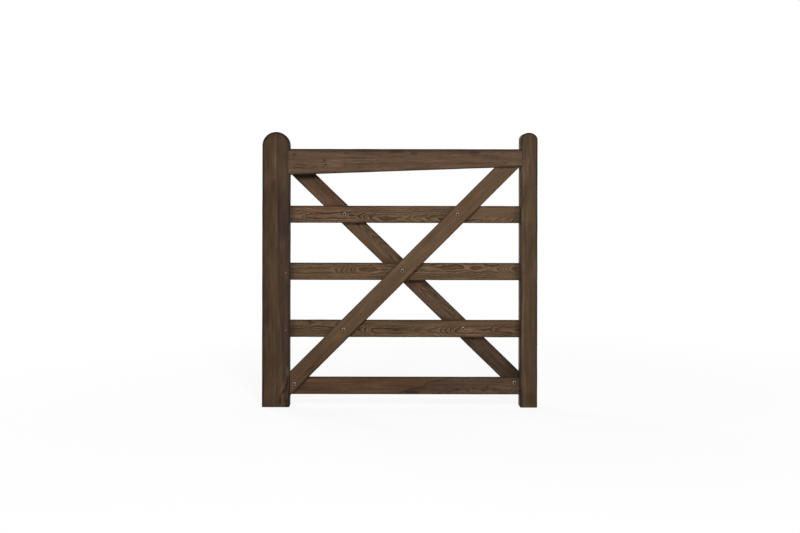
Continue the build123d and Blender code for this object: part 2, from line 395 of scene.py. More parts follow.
@dataclass(frozen=True)
class StainedSoftwood:
    """Planed pine under a thin brown stain.

    It gives the eye timber with a faint sheen and darker latewood lines that run in flames where the saw went
    along the rings, streaks along the grain, uneven stain, shadows and highlights painted in where its
    figures say so, and painted shade on the arrises. The rings are those of fast-grown timber.
    """

    cut: Cut
    seed: float
    tone: float = 1.0
    early: str = "#654f3b"
    late: str = "#372515"
    pale: str = "#7b6755"
    flush: str = "#694c3b"
    moss: str = "#63513b"
    ring: float = 6.2
    course: Course = Course()
    wander: float = 6.0
    bend: float = 5.0
    jag: float = 4.5
    contrast: float = 1.1
    fibre: float = 0.24
    streak: float = 0.22
    blotch: float = 0.2
    dashes: float = 0.14
    # Brightness under the painted shade on the arrises, and of the end grain, which takes the stain darker
    arris_shade: float = 0.34
    end_shade: float = 0.5
    figures: tuple[Figure, ...] = ()
    seams: tuple[Seam, ...] = ()

    # Distances past the pith, in millimetres, between which the rings weaken, and what is left of them
    clear_to: float = 30.0
    faint_from: float = 85.0
    far_strength: float = 0.5
    # Shares of a ring: its pale first wood ends, its latewood begins, is full, and starts to end
    first_ends: float = 0.3
    late_begins: float = 0.35
    late_full: float = 0.78
    late_ends: float = 0.9
    # Share of pale in the first wood, share of dark in the faintest ring, and strength where rings are faint
    first_pale: float = 0.75
    faintest: float = 0.6
    faint: float = 0.7
    # Values of the spots between which rings, other colours, shades and dashes set in, and the colours' share
    faint_spots: tuple[float, float] = (0.38, 0.58)
    colour_spots: tuple[float, float] = (0.45, 0.7)
    shade_spots: tuple[float, float] = (0.25, 0.75)
    dash_spots: tuple[float, float] = (0.58, 0.72)
    colour_share: float = 0.7
    # Sheen: roughness of early wood and latewood, weight of the latewood in the relief, and the relief itself
    rough_early: float = 0.68
    rough_late: float = 0.56
    late_height: float = 0.6
    relief: float = 0.25
    relief_height: float = 0.3 * MM

    def growth(self, grain: Grain) -> tuple[Socket, Socket, list[Mark]]:
        """Distance from the pith, bent by the board's course, by slow and quick wanders and by the figures.

        Args:
            grain: The board's nodes.

        Returns:
            The bent distance in millimetres, how clear the rings are here, and the figures' and seams' marks.
        """
        tree = grain.tree
        along, through, across = add(tree, "SeparateXYZ", {0: grain.place}).node.outputs
        sway = grain.traced(along, self.course.along, self.course.sway)
        rise = grain.traced(along, self.course.along, tuple(self.ring * part for part in self.course.rise))
        depth, side = self.cut.value
        behind = add(tree, "Math", {0: through, 1: depth}, operation="SUBTRACT")
        beside = add(tree, "Math", {0: across, 1: sway}, operation="SUBTRACT")
        beside = add(tree, "Math", {0: beside, 1: side}, operation="SUBTRACT")
        away = add(tree, "CombineXYZ", {1: behind, 2: beside})
        reach = add(tree, "VectorMath", {0: away}, "Value", operation="LENGTH")
        total = add(tree, "Math", {0: reach, 1: rise}, operation="ADD")
        bends = {Spots.WANDER: self.wander, Spots.BEND: self.bend, Spots.JAG: self.jag}
        for spots, height in bends.items():
            feeds = {0: grain.mottle(spots), 1: height, 2: total}
            total = add(tree, "Math", feeds, operation="MULTIPLY_ADD")
        feeds = {0: reach, 1: side + self.clear_to, 2: side + self.faint_from, 3: 1.0, 4: self.far_strength}
        clear = add(tree, "MapRange", feeds)
        marks = []
        for figure in self.figures:
            mask = grain.oval(figure)
            marks.append((mask, figure.shade, figure.stain, figure.dye))
            if figure.lift:
                total = add(tree, "Math", {0: mask, 1: figure.lift, 2: total}, operation="MULTIPLY_ADD")
            if figure.calm:
                still = add(tree, "MapRange", {0: mask, 3: 1.0, 4: 1.0 - figure.calm})
                clear = add(tree, "Math", {0: clear, 1: still}, operation="MULTIPLY")
        for seam in self.seams:
            place = grain.traced(along, seam.along, seam.across)
            feeds = {0: grain.mottle(Spots.BEND), 1: seam.bend, 2: place}
            place = add(tree, "Math", feeds, operation="MULTIPLY_ADD")
            gap = add(tree, "Math", {0: across, 1: place}, operation="SUBTRACT")
            gap = add(tree, "Math", {0: gap, 1: seam.side}, operation="MULTIPLY")
            size = add(tree, "Math", {0: gap}, operation="ABSOLUTE")
            line = add(tree, "MapRange", {0: size, 1: seam.width, 2: 0.0}, **SOFT)
            inside = add(tree, "MapRange", {0: gap, 2: seam.width})
            band = add(tree, "MapRange", {0: gap, 1: seam.width, 2: seam.reach, 3: 1.0, 4: 0.0}, **SOFT)
            pale = add(tree, "Math", {0: inside, 1: band}, operation="MULTIPLY")
            beyond = add(tree, "MapRange", {0: gap, 2: -seam.width})
            marks.append((line, seam.line, Stain.NONE, 0.0))
            marks.append((pale, seam.glow, Stain.NONE, 0.0))
            marks.append((beyond, seam.beyond, seam.stain, seam.dye))
        return total, clear, marks

    def latewood(self, tree: Tree, growth: Socket) -> tuple[Socket, Socket]:
        """Finds the dark latewood: each ring darkens slowly outwards and ends sharply, some more than others.

        Args:
            tree: The material's nodes.
            growth: Bent distance from the pith, in millimetres.

        Returns:
            The share of latewood, and that of the ring's first wood, which is the palest.
        """
        year = add(tree, "Math", {0: growth, 1: self.ring}, operation="DIVIDE")
        share = add(tree, "Math", {0: year}, operation="FRACT")
        whole = add(tree, "Math", {0: year}, operation="FLOOR")
        luck = add(tree, "TexWhiteNoise", {"W": whole}, noise_dimensions="1D")
        rising = add(tree, "MapRange", {0: share, 1: self.late_begins, 2: self.late_full}, **SOFT)
        ending = add(tree, "MapRange", {0: share, 1: self.late_ends, 3: 1.0, 4: 0.0}, **SOFT)
        band = add(tree, "Math", {0: rising, 1: ending}, operation="MULTIPLY")
        weight = add(tree, "MapRange", {0: luck, 3: self.faintest})
        late = add(tree, "Math", {0: band, 1: weight}, operation="MULTIPLY")
        first = add(tree, "MapRange", {0: share, 2: self.first_ends, 3: self.first_pale, 4: 0.0}, **SOFT)
        return late, first

    def material(self, name: str, angle: float, middle: Array) -> Material:
        """Makes the finish of one board.

        Args:
            name: Name of the material.
            angle: Direction of the grain from X towards Z, in degrees.
            middle: Middle of the board in the frame.

        Returns:
            The material.
        """
        material, tree = blank(name)
        turn = math.radians(angle)
        cosine = math.cos(turn)
        sine = math.sin(turn)
        x, y, z = middle / MM
        feeds = {
            "Vector": add(tree, "TexCoord", None, "Object"),
            "Location": (-cosine * x - sine * z, -y, sine * x - cosine * z),
            "Rotation": (0.0, turn, 0.0),
            "Scale": (1 / MM, 1 / MM, 1 / MM),
        }
        grain = Grain(tree, add(tree, "Mapping", feeds, vector_type="POINT"), self.seed)
        growth, clear, marks = self.growth(grain)
        late, first = self.latewood(tree, growth)

        low, high = self.faint_spots
        weakest = self.faint * self.contrast
        feeds = {0: grain.mottle(Spots.FAINT), 1: low, 2: high, 3: weakest, 4: self.contrast}
        strength = add(tree, "Math", {0: add(tree, "MapRange", feeds), 1: clear}, operation="MULTIPLY")
        layers = []
        low, high = self.colour_spots
        for spots, colour in ((Spots.FLUSH, self.flush), (Spots.MOSS, self.moss)):
            feeds = {0: grain.mottle(spots), 1: low, 2: high, 4: self.colour_share}
            layers.append((add(tree, "MapRange", feeds), colour))
        for share, colour in ((first, self.pale), (late, self.late)):
            layers.append((add(tree, "Math", {0: share, 1: strength}, operation="MULTIPLY"), colour))
        shades = []
        for mask, shade, stain, dye in marks:
            if stain is not Stain.NONE:
                layers.append((add(tree, "Math", {0: mask, 1: dye}, operation="MULTIPLY"), stain.value))
            if shade != 1:
                shades.append(add(tree, "MapRange", {0: mask, 3: 1.0, 4: shade}))
        colour = linear(self.early)
        for share, layer in layers:
            colour = add(tree, "Mix", {0: share, 6: colour, 7: linear(layer)}, **COLOURS)

        fibre = grain.mottle(Spots.FIBRE)
        streak = grain.mottle(Spots.STREAK)
        blotch = grain.mottle(Spots.BLOTCH)
        low, high = self.shade_spots
        for spots, swing in ((fibre, self.fibre), (streak, self.streak), (blotch, self.blotch)):
            shades.append(add(tree, "MapRange", {0: spots, 1: low, 2: high, 3: 1 - swing, 4: 1 + swing}))
        low, high = self.dash_spots
        feeds = {0: grain.mottle(Spots.DASH), 1: low, 2: high, 3: 1.0, 4: 1 - self.dashes}
        shades.append(add(tree, "MapRange", feeds))
        # Painted shade on the rounded arrises, and end grain, which takes the stain darker
        for mark, shade in (("arris", self.arris_shade), ("end_grain", self.end_shade)):
            share = add(tree, "Attribute", None, "Fac", attribute_name=mark)
            shades.append(add(tree, "MapRange", {0: share, 3: 1.0, 4: shade}))
        bright = self.tone
        for shade in shades:
            bright = add(tree, "Math", {0: bright, 1: shade}, operation="MULTIPLY")

        height = add(tree, "Math", {0: late, 1: self.late_height, 2: fibre}, operation="MULTIPLY_ADD")
        feeds = {"Strength": self.relief, "Distance": self.relief_height, "Height": height}
        feeds = {
            "Base Color": add(tree, "HueSaturation", {"Value": bright, "Color": colour}),
            "Roughness": add(tree, "MapRange", {0: late, 3: self.rough_early, 4: self.rough_late}),
            "IOR": 1.5,
            "Specular IOR Level": 0.05,
            "Normal": add(tree, "Bump", feeds),
        }
        add(tree, "OutputMaterial", {"Surface": add(tree, "BsdfPrincipled", feeds)})
        return material


@dataclass(frozen=True)
class DowelEndGrain:
    """Cut end of a hardwood dowel: matt, with dark pores, paler where the stain was rubbed off."""

    name: str
    ground: str
    pore: str
    pore_gap: float = 1.1 * MM
    pore_depth: float = 0.2 * MM
    pore_edge: tuple[float, float] = (0.12, 0.4)

    def material(self) -> Material:
        """Makes the finish.

        Returns:
            The material.
        """
        material, tree = blank(self.name)
        place = add(tree, "TexCoord", None, "Object")
        pores = add(tree, "TexVoronoi", {"Vector": place, "Scale": 1 / self.pore_gap, "Randomness": 0.9})
        mask = add(tree, "MapRange", {0: pores, 1: self.pore_edge[0], 2: self.pore_edge[1]})
        feeds = {0: mask, 6: linear(self.pore), 7: linear(self.ground)}
        feeds = {
            "Base Color": add(tree, "Mix", feeds, **COLOURS),
            "Roughness": 0.7,
            "IOR": 1.5,
            "Specular IOR Level": 0.2,
            "Normal": add(tree, "Bump", {"Strength": 0.4, "Distance": self.pore_depth, "Height": pores}),
        }
        add(tree, "OutputMaterial", {"Surface": add(tree, "BsdfPrincipled", feeds)})
        return material


@dataclass(frozen=True)
class ZincPlatedSteel:
    """Turned steel with a dulled zinc plating: a soft grey gleam, cloudy, with dirt and painted shade in the
    drive socket and its mouth.
    """

    name: str
    bright: str = "#8f867c"
    dull: str = "#6e655b"
    dirt_and_shade: str = "#392f27"
    cloud_size: float = 3.0 * MM
    cloud_depth: float = 0.1 * MM
    cloud_edge: tuple[float, float] = (0.35, 0.65)
    rough_edge: tuple[float, float] = (0.3, 0.7)
    rough: tuple[float, float] = (0.52, 0.7)

    def material(self) -> Material:
        """Makes the finish.

        Returns:
            The material.
        """
        material, tree = blank(self.name)
        place = add(tree, "TexCoord", None, "Object")
        cloud = add(tree, "TexNoise", {"Vector": place, "Scale": 1 / self.cloud_size, "Detail": 4.0})
        mask = add(tree, "MapRange", {0: cloud, 1: self.cloud_edge[0], 2: self.cloud_edge[1]})
        plate = add(tree, "Mix", {0: mask, 6: linear(self.bright), 7: linear(self.dull)}, **COLOURS)
        # Dark and not metallic in the socket and its mouth: dirt, and painted shade of the recess
        socket = add(tree, "Attribute", None, "Fac", attribute_name="socket")
        rough = {0: cloud, 1: self.rough_edge[0], 2: self.rough_edge[1], 3: self.rough[0], 4: self.rough[1]}
        feeds = {
            "Base Color": add(tree, "Mix", {0: socket, 6: plate, 7: linear(self.dirt_and_shade)}, **COLOURS),
            "Metallic": add(tree, "MapRange", {0: socket, 3: 1.0, 4: 0.0}),
            "Roughness": add(tree, "MapRange", rough),
            "Specular IOR Level": 0.02,
            "Normal": add(tree, "Bump", {"Strength": 0.15, "Distance": self.cloud_depth, "Height": cloud}),
        }
        add(tree, "OutputMaterial", {"Surface": add(tree, "BsdfPrincipled", feeds)})
        return material


@dataclass(frozen=True)
class Profile:
    """Rounded rectangle that is carried along a board.

    A point is corner * (half size - arris) + arris * outward. Each quarter is an arc, then the straight run
    to the next corner.
    """

    wide: int = 20
    narrow: int = 4
    arc: int = 5

    def places(self) -> tuple[Array, Array]:
        """Works out the section's points.

        Returns:
            Corner multipliers and outward directions, each of shape (points, 2), across and then through.
        """
        turn = np.linspace(0, QUARTER_TURN, self.arc + 1)
        corners = []
        outward = []
        for quarter, count in enumerate((self.narrow, self.wide, self.narrow, self.wide)):
            start = (quarter - 1) * QUARTER_TURN
            here = np.sign([math.cos(start + QUARTER_TURN / 2), math.sin(start + QUARTER_TURN / 2)])
            after = np.array([-here[1], here[0]])
            share = np.linspace(0, 1, count + 2)[1:-1, None]
            corners += [np.tile(here, (turn.size, 1)), here + share * (after - here)]
            angles = np.concatenate((start + turn, np.full(count, start + QUARTER_TURN)))
            outward.append(np.stack((np.cos(angles), np.sin(angles)), axis=-1))
        return np.concatenate(corners), np.concatenate(outward)


def stretch(
    along: Array | float, half_width: Array | float, half_depth: Array | float, arris: Array | float,
    lift: float = 0.0, end: float = 0.0
) -> Array:
    """Lists the sections of one stretch of a board.

    Args:
        along: Place of each section along the board.
        half_width: Half of the board's width.
        half_depth: Half of its depth.
        arris: Radius of its arrises.
        lift: How far a stub stands above its shoulder.
        end: 1 on a cut end, where end grain shows.

    Returns:
        A row of these six values for each section.
    """
    return np.stack(np.broadcast_arrays(along, half_width, half_depth, arris, lift, end), axis=-1)


def cut_end(at: float, half_width: float, half_depth: float, arris: float, lift: float = 0.0) -> Array:
    """Lists the sections of a flat cut end: the section shrinks evenly onto its middle line.

    Args:
        at: Place of the end along the board.
        half_width: Half of the width there.
        half_depth: Half of the depth there.
        arris: Radius of the arrises there.
        lift: How far a stub stands above its shoulder.

    Returns:
        Sections from the rim of the end to its middle line.
    """
    left = np.linspace(1, 0, 5)
    return stretch(at, half_width - half_depth * (1 - left), half_depth * left, arris * left, lift, 1.0)


@dataclass
class Board:
    """One piece of timber: its node, its finish, the seed of its unevenness, the direction of its grain from
    X towards Z in degrees, and the bolts round which it is painted darker, partly dirt and partly the shade
    of their heads, in millimetres.
    """

    node: str
    wood: StainedSoftwood
    seed: int
    angle: float = 0.0
    bolts: tuple[str, ...] = ()
    halo: float = 14.0
    halo_shade: float = 0.64
    halo_core: float = 0.7
    step: float = 4 * MM
    unevenness: float = 0.12 * MM
    waves: tuple[float, float] = (0.22, 0.09)
    wear: float = 0.14
    wear_lengths: tuple[float, float] = (0.16, 1.0)
    edge_shade: float = 0.5
    edge_fade: float = 1.3 * MM

    def surface(self) -> Shell:
        """Works out the board's closed surface, which each kind of board does in its own way."""
        raise NotImplementedError

    def direction(self) -> tuple[float, float]:
        """Cosine and sine of the grain's direction."""
        return math.cos(math.radians(self.angle)), math.sin(math.radians(self.angle))

    def make(self) -> None:
        """Builds the board, dresses it and puts it in place of its node."""
        middle = middle_of(self.node)
        cosine, sine = self.direction()
        # A darker ring round each bolt: partly dirt, partly painted shade of its head
        dirt_and_shade_halos = []
        for bolt in self.bolts:
            x, _, z = (middle_of(bolt) - middle) / MM
            spot = (x * cosine + z * sine, z * cosine - x * sine)
            dirt_and_shade_halos.append(Figure(*spot, self.halo, self.halo, self.halo_shade, core=self.halo_core))
        wood = replace(self.wood, figures=(*self.wood.figures, *dirt_and_shade_halos))
        material = wood.material(f"stained_softwood_{self.node}", self.angle, middle)
        self.surface().install(self.node, "timber", "stained_softwood", material)

    def worn(self, rng: Random, along: Array, arris: float) -> Array:
        """Arris radius along a board, rubbed down a little more in some places than in others."""
        return arris * (1 + swell(rng, along, np.zeros_like(along), self.wear, self.wear_lengths))

    def rubbed(self, sideways: Array, forward: Array, gap: Array) -> Array:
        """How much an arris shows, which is its share of painted shade: by how evenly a point looks both
        ways, or by its gap to the arris.
        """
        return np.maximum(np.abs(2 * sideways * forward), self.edge_shade * np.exp(-gap / self.edge_fade))

    def carried(self, profile: Profile, sections: Array, rng: Random) -> tuple[Array, Array, dict]:
        """Carries the section along the board, with its unevenness.

        Args:
            profile: The section.
            sections: Size of the section along the board.
            rng: Source of the seeded draws.

        Returns:
            Places across and through the board for each point, and the marks for the finish.
        """
        corner, outward = profile.places()
        along, half_width, half_depth, arris, _, end = sections.T[:, :, None]
        wide = half_width - arris
        deep = half_depth - arris
        across = corner[:, 0] * wide + outward[:, 0] * arris
        through = corner[:, 1] * deep + outward[:, 1] * arris
        uneven = swell(rng, along, across + 2 * through, self.unevenness, self.waves) * (1 - end)
        gap = wide * (1 - np.abs(corner[:, 0])) + deep * (1 - np.abs(corner[:, 1]))
        # Share of painted shade on the arrises; cut ends get none and show end grain
        rubbed = self.rubbed(outward[:, 0], outward[:, 1], gap) * (1 - end)
        marks = {"arris": rubbed, "end_grain": end}
        return across + outward[:, 0] * uneven, through + outward[:, 1] * uneven, marks


@dataclass
class Rail(Board):
    """A cross rail, level above, with a shouldered tenon at each end. The top rail tapers from heel to toe
    and is let into both stiles.
    """

    heel: float = 75 * MM
    toe: float = 75 * MM
    housing: float = 0.0
    shoulder: float = 6.5 * MM
    tenon_half_depth: float = 8 * MM
    arris: float = 3 * MM
    profile: Profile = Profile()

    def surface(self) -> Shell:
        """Carries the section along X: tenon, shoulder, rail, shoulder, tenon, with a level top edge.

        Returns:
            The rail's closed surface.
        """
        rng = np.random.default_rng(self.seed)
        low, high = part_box(self.node)
        left, right = opening()
        along = np.linspace(left - self.housing, right + self.housing, int((right - left) / self.step))
        slope = (self.toe - self.heel) / (right - left)
        half_width = (self.heel + slope * (along - left)) / 2
        near = (half_width[0] - self.shoulder, self.tenon_half_depth, TENON_ARRIS)
        far = (half_width[-1] - self.shoulder, self.tenon_half_depth, TENON_ARRIS)
        stretches = (
            cut_end(low.x, *near)[::-1],
            stretch(np.linspace(low.x, along[0], TENON_SECTIONS), *near),
            stretch(along, half_width, (high.y - low.y) / 2, self.worn(rng, along, self.arris)),
            stretch(np.linspace(along[-1], high.x, TENON_SECTIONS), *far),
            cut_end(high.x, *far),
        )
        sections = np.concatenate(stretches)
        across, through, marks = self.carried(self.profile, sections, rng)
        drop = np.interp(sections[:, :1], along, half_width)
        shell = Shell()
        shell.lay(sections[:, :1], through, high.z - drop + across, True, **marks)
        return shell


@dataclass
class Brace(Board):
    """A flat diagonal, cut upright beside its stile and along the top rail, with a stub tenon on top."""

    foot: tuple[float, float] = (0.0, 0.0)
    end_x: float = 0.0
    foot_level: float = 0.0
    half_width: float = 37.5 * MM
    half_depth: float = 10 * MM
    arris: float = 3 * MM
    stub: tuple[float, float] = (27.5 * MM, 6 * MM)
    stub_length: float = 20 * MM

    def starts(self, across: Array) -> Array:
        """Finds the foot's cut: upright beside the stile, level at the foot's lowest.

        Args:
            across: Places across the brace.

        Returns:
            Where the cut lies along the brace.
        """
        cosine, sine = self.direction()
        upright = (self.end_x - self.foot[0] + across * sine) / cosine
        level = (self.foot_level - self.foot[1] - across * cosine) / sine
        return np.maximum(upright, level)

    def stops(self, across: Array, lift: Array) -> Array:
        """Finds the top's cut: on the top rail's sloping underside, or lifted off it.

        Args:
            across: Places across the brace.
            lift: How far above the underside.

        Returns:
            Where the cut lies along the brace.
        """
        cosine, sine = self.direction()
        left, right = opening()
        slope = (TOP_RAIL_HEEL - TOP_RAIL_TOE) / (right - left)
        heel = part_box("top_rail")[1].z - TOP_RAIL_HEEL
        rise = heel + lift + slope * (self.foot[0] - left) - self.foot[1]
        return (rise - across * (cosine + slope * sine)) / (sine - slope * cosine)

    def surface(self) -> Shell:
        """Carries the section along the diagonal; each line runs from its own start to its own stop.

        Returns:
            The brace's closed surface.
        """
        rng = np.random.default_rng(self.seed)
        low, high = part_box(self.node)
        length = (high - low).length
        share = np.linspace(0, 1, int(length / self.step))
        worn = self.worn(rng, share * length, self.arris)
        stub = (*self.stub, TENON_ARRIS)
        stretches = (
            cut_end(0.0, self.half_width, self.half_depth, worn[0])[::-1],
            stretch(share, self.half_width, self.half_depth, worn),
            stretch(np.ones(2), *stub),
            stretch(np.ones(2), *stub, self.stub_length),
            cut_end(1.0, *stub, self.stub_length),
        )
        sections = np.concatenate(stretches)
        part = sections[:, :1]
        lift = sections[:, 4:5]
        across, through, marks = self.carried(Profile(), sections * (length, 1, 1, 1, 1, 1), rng)
        along = (1 - part) * self.starts(across) + part * self.stops(across, lift)
        cosine, sine = self.direction()
        x = self.foot[0] + along * cosine - across * sine
        z = self.foot[1] + along * sine + across * cosine
        shell = Shell()
        shell.lay(x, through + (low.y + high.y) / 2, z, True, **marks)
        return shell


@dataclass
class Stile(Board):
    """An upright with an arched top, the housing of the top rail and the holes of its dowel pins."""

    waves: tuple[float, float] = (0.24, 0.1)
    inward: float = 1.0
    rise: float = 60 * MM
    arris: float = 6 * MM
    housing_arris: float = 0.8 * MM
    foot_arris: float = 2.5 * MM
    pins: tuple[str, ...] = ()
    patch: float = 7 * MM
    rim_radii: tuple[float, ...] = (4.05 * MM, 4.1 * MM, 4.25 * MM, 4.6 * MM)
    rim_depths: tuple[float, ...] = (3 * MM, 0.6 * MM, 0.15 * MM, 0.0)
    fine_steps: tuple[float, ...] = (1.4 * MM, 2.8 * MM, 5.4 * MM)
    sill: float = 0.3 * MM
    clearance: float = 0.5 * MM
    foot_points: int = 6
    arch_points: int = 50
    face_points: int = 14
    arris_points: int = 7
    side_points: int = 16

    def spread(self, spaced: Array, centres: Array) -> Array:
        """Adds fine steps about some places to evenly spaced ones.

        Args:
            spaced: Evenly spaced places.
            centres: Places that get the fine steps.

        Returns:
            All places in order, the even ones left out where fine ones stand.
        """
        reach = np.sort((*self.fine_steps, *self.rim_radii, self.patch))
        fine = np.concatenate((-reach[::-1], [0.0], reach))
        clear = np.abs(spaced[:, None] - centres).min(axis=1) > self.patch + self.clearance
        return np.unique(np.round(np.concatenate((spaced[clear], (centres[:, None] + fine).ravel())), 7))

    def bored(self, x: Array, z: Array, pins: Array) -> tuple[Array, Array, Array]:
        """Draws the grid round each pin out to circles and sinks the hole inside.

        About a pin, max(|dx|, |dz|) names a square of the grid. A point moves along its own ray until its
        distance is that number, so the squares become circles, and the depth follows from the number alone.
        Away from the hole the move fades as 3 s squared minus 2 s cubed.

        Args:
            x: X of the face's points.
            z: Z of the face's points.
            pins: Middles of the dowel pins.

        Returns:
            The new X and Z, and how far each point sinks.
        """
        sink = np.zeros_like(x)
        for pin_x, _, pin_z in pins:
            away_x = x - pin_x
            away_z = z - pin_z
            square = np.maximum(np.abs(away_x), np.abs(away_z))
            circle = np.maximum(np.hypot(away_x, away_z), WELD)
            share = np.clip((self.patch - square) / (self.patch - self.rim_radii[-1]), 0, 1)
            scale = 1 + share * share * (3 - 2 * share) * (square / circle - 1)
            x = pin_x + away_x * scale
            z = pin_z + away_z * scale
            sink = sink + np.interp(square, self.rim_radii, self.rim_depths)
        return x, z, sink

    def surface(self) -> Shell:
        """Works out the upright from its outline and its section.

        Rows follow the outline, from the inner foot up, over the arch and down to the outer foot. Columns run
        from the front's middle line to the outline, round the arris, through the depth and back to the middle
        line behind.

        Returns:
            The stile's closed surface.
        """
        rng = np.random.default_rng(self.seed)
        low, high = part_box(self.node)
        middle = (low.x + high.x) / 2
        half = (high.x - low.x) / 2
        depth = (high.y - low.y) / 2
        spring = high.z - self.rise
        pins = np.array([middle_of(name) for name in self.pins])

        # Heights of the rows: the foot's arris, the ends of the housing, the pins and even steps between
        rail_low, rail_top = (corner.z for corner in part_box("top_rail"))
        if self.inward < 0:
            rail_low = rail_top - TOP_RAIL_TOE
        ledges = np.array((rail_low - self.sill, rail_low, rail_top, rail_top + self.sill))
        foot = self.foot_arris * (1 - np.cos(np.linspace(0, QUARTER_TURN, self.foot_points)))
        even = np.arange(self.step, spring - self.step, self.step)
        even = even[even > self.foot_arris]
        even = even[np.abs(even[:, None] - ledges).min(axis=1) > 2 * self.clearance]
        side = np.unique(np.concatenate((foot, ledges, self.spread(even, pins[:, 2]), [spring])))
        housed = (side >= rail_low) & (side <= rail_top)
        bend = np.linspace(0, math.pi, self.arch_points)[1:-1]

        # The outline, which way it looks and the middle line that each row runs out from
        eased = np.clip(1 - side / self.foot_arris, 0, 1)
        trim = self.foot_arris * (1 - np.sqrt(1 - eased**2))
        plain = half - trim
        inner = plain - np.where(housed, HOUSING, 0.0)
        norm = np.hypot(np.cos(bend) / half, np.sin(bend) / self.rise)
        ones = np.ones(side.size)
        rows = (
            middle + self.inward * np.concatenate((inner, half * np.cos(bend), -plain[::-1])),
            np.concatenate((side, spring + self.rise * np.sin(bend), side[::-1])),
            self.inward * np.concatenate((ones, np.cos(bend) / half / norm, -ones)),
            np.concatenate((0 * ones, np.sin(bend) / self.rise / norm, 0 * ones)),
            np.concatenate((side, np.full(bend.size, spring), side[::-1])),
            depth - np.concatenate((trim, 0 * bend, trim[::-1])),
        )
        edge_x, edge_z, out_x, out_z, core_z, deep = (row[:, None] for row in rows)
        arch = edge_z > spring
        small = np.concatenate((housed, np.zeros(bend.size + side.size, bool)))
        arris = np.where(small, self.housing_arris, self.worn(rng, rows[1], self.arris))[:, None]

        # The front from the middle line to the arris, with the pins' holes
        face = half - self.arris
        pin_reach = abs(pins[0, 0] - middle)
        columns = self.spread(np.linspace(0, face, self.face_points)[1:-1], np.array([pin_reach]))
        columns = columns[(columns > 0) & (columns < face - self.clearance)]
        columns = np.concatenate(([0.0], columns, [face]))
        rim_x = edge_x - out_x * arris
        rim_z = edge_z - out_z * arris
        room = np.hypot(rim_x - middle, rim_z - core_z)
        fixed = pin_reach + self.patch
        beyond = fixed + (columns - fixed) * (room - fixed) / (face - fixed)
        reach = np.where(arch, columns * room / face, np.where(columns > fixed, beyond, columns))
        face_x = middle + (rim_x - middle) * reach / room
        face_z = core_z + (rim_z - core_z) * reach / room
        face_x, face_z, sink = self.bored(face_x, face_z, pins)
        face_y = sink - deep

        # The arris and the side, then all of it again behind
        turn = np.linspace(0, QUARTER_TURN, self.arris_points)[1:]
        inset = arris * (1 - np.sin(turn))
        round_x = edge_x - out_x * inset
        round_z = edge_z - out_z * inset
        round_y = arris * (1 - np.cos(turn)) - deep
        through = np.linspace(-1, 1, self.side_points)[1:-1]
        side_y = (deep - arris) * through
        side_gap = (deep - arris) * (1 - np.abs(through))
        parts = (
            (face_x, round_x, edge_x + 0 * side_y, round_x[:, ::-1], face_x[:, ::-1]),
            (face_y, round_y, side_y, -round_y[:, ::-1], -face_y[:, ::-1]),
            (face_z, round_z, edge_z + 0 * side_y, round_z[:, ::-1], face_z[:, ::-1]),
            (room - reach, 0 * round_x, side_gap, 0 * round_x, (room - reach)[:, ::-1]),
        )
        x, y, z, gap = (np.concatenate(part, axis=1) for part in parts)
        flat = 0 * columns
        sideways = np.concatenate((flat, np.sin(turn), 0 * through + 1, np.sin(turn)[::-1], flat))
        forward = np.concatenate((flat - 1, -np.cos(turn), 0 * through, np.cos(turn)[::-1], flat + 1))
        uneven = swell(rng, z, x + 2 * y, self.unevenness, self.waves)
        x = x + out_x * sideways * uneven
        z = z + out_z * sideways * uneven
        y = y + forward * uneven
        end_grain = np.clip(out_z * sideways, 0, 1) ** 2

        shell = Shell()
        # The arris mark is the share of painted shade on the rounded arrises
        shell.lay(x, y, z, False, arris=self.rubbed(sideways, forward, gap), end_grain=end_grain)
        shell.lay(*self.sole(np.stack((x, y, z)), columns.size - 1), False, arris=0.0, end_grain=1.0)
        return shell

    def sole(self, wall: Array, first: int) -> Array:
        """Closes the foot: a grid that is stretched straight between the two foot rows, then drawn onto the
        front's and the back's foot lines by the gap that is left there, fading linearly through the depth.

        Args:
            wall: X, Y and Z of the upright's points, of shape (3, rows, columns).
            first: Number of columns from the middle line to the front's edge.

        Returns:
            X, Y and Z of the sole's points.
        """
        last = wall.shape[2] - first
        outer = wall[:, -1]
        inner = wall[:, 0]
        front = np.concatenate((outer[:, :first + 1][:, ::-1], inner[:, 1:first + 1]), axis=1)
        back = np.concatenate((outer[:, last - 1:], inner[:, last - 1:-1][:, ::-1]), axis=1)
        share = ((front[0] - front[0, 0]) / (front[0, -1] - front[0, 0]))[None, :, None]
        flat = (1 - share) * outer[:, None, first:last] + share * inner[:, None, first:last]
        through = np.linspace(0, 1, last - first)
        front_gap = (front - flat[:, :, 0])[:, :, None]
        back_gap = (back - flat[:, :, -1])[:, :, None]
        return flat + (1 - through) * front_gap + through * back_gap


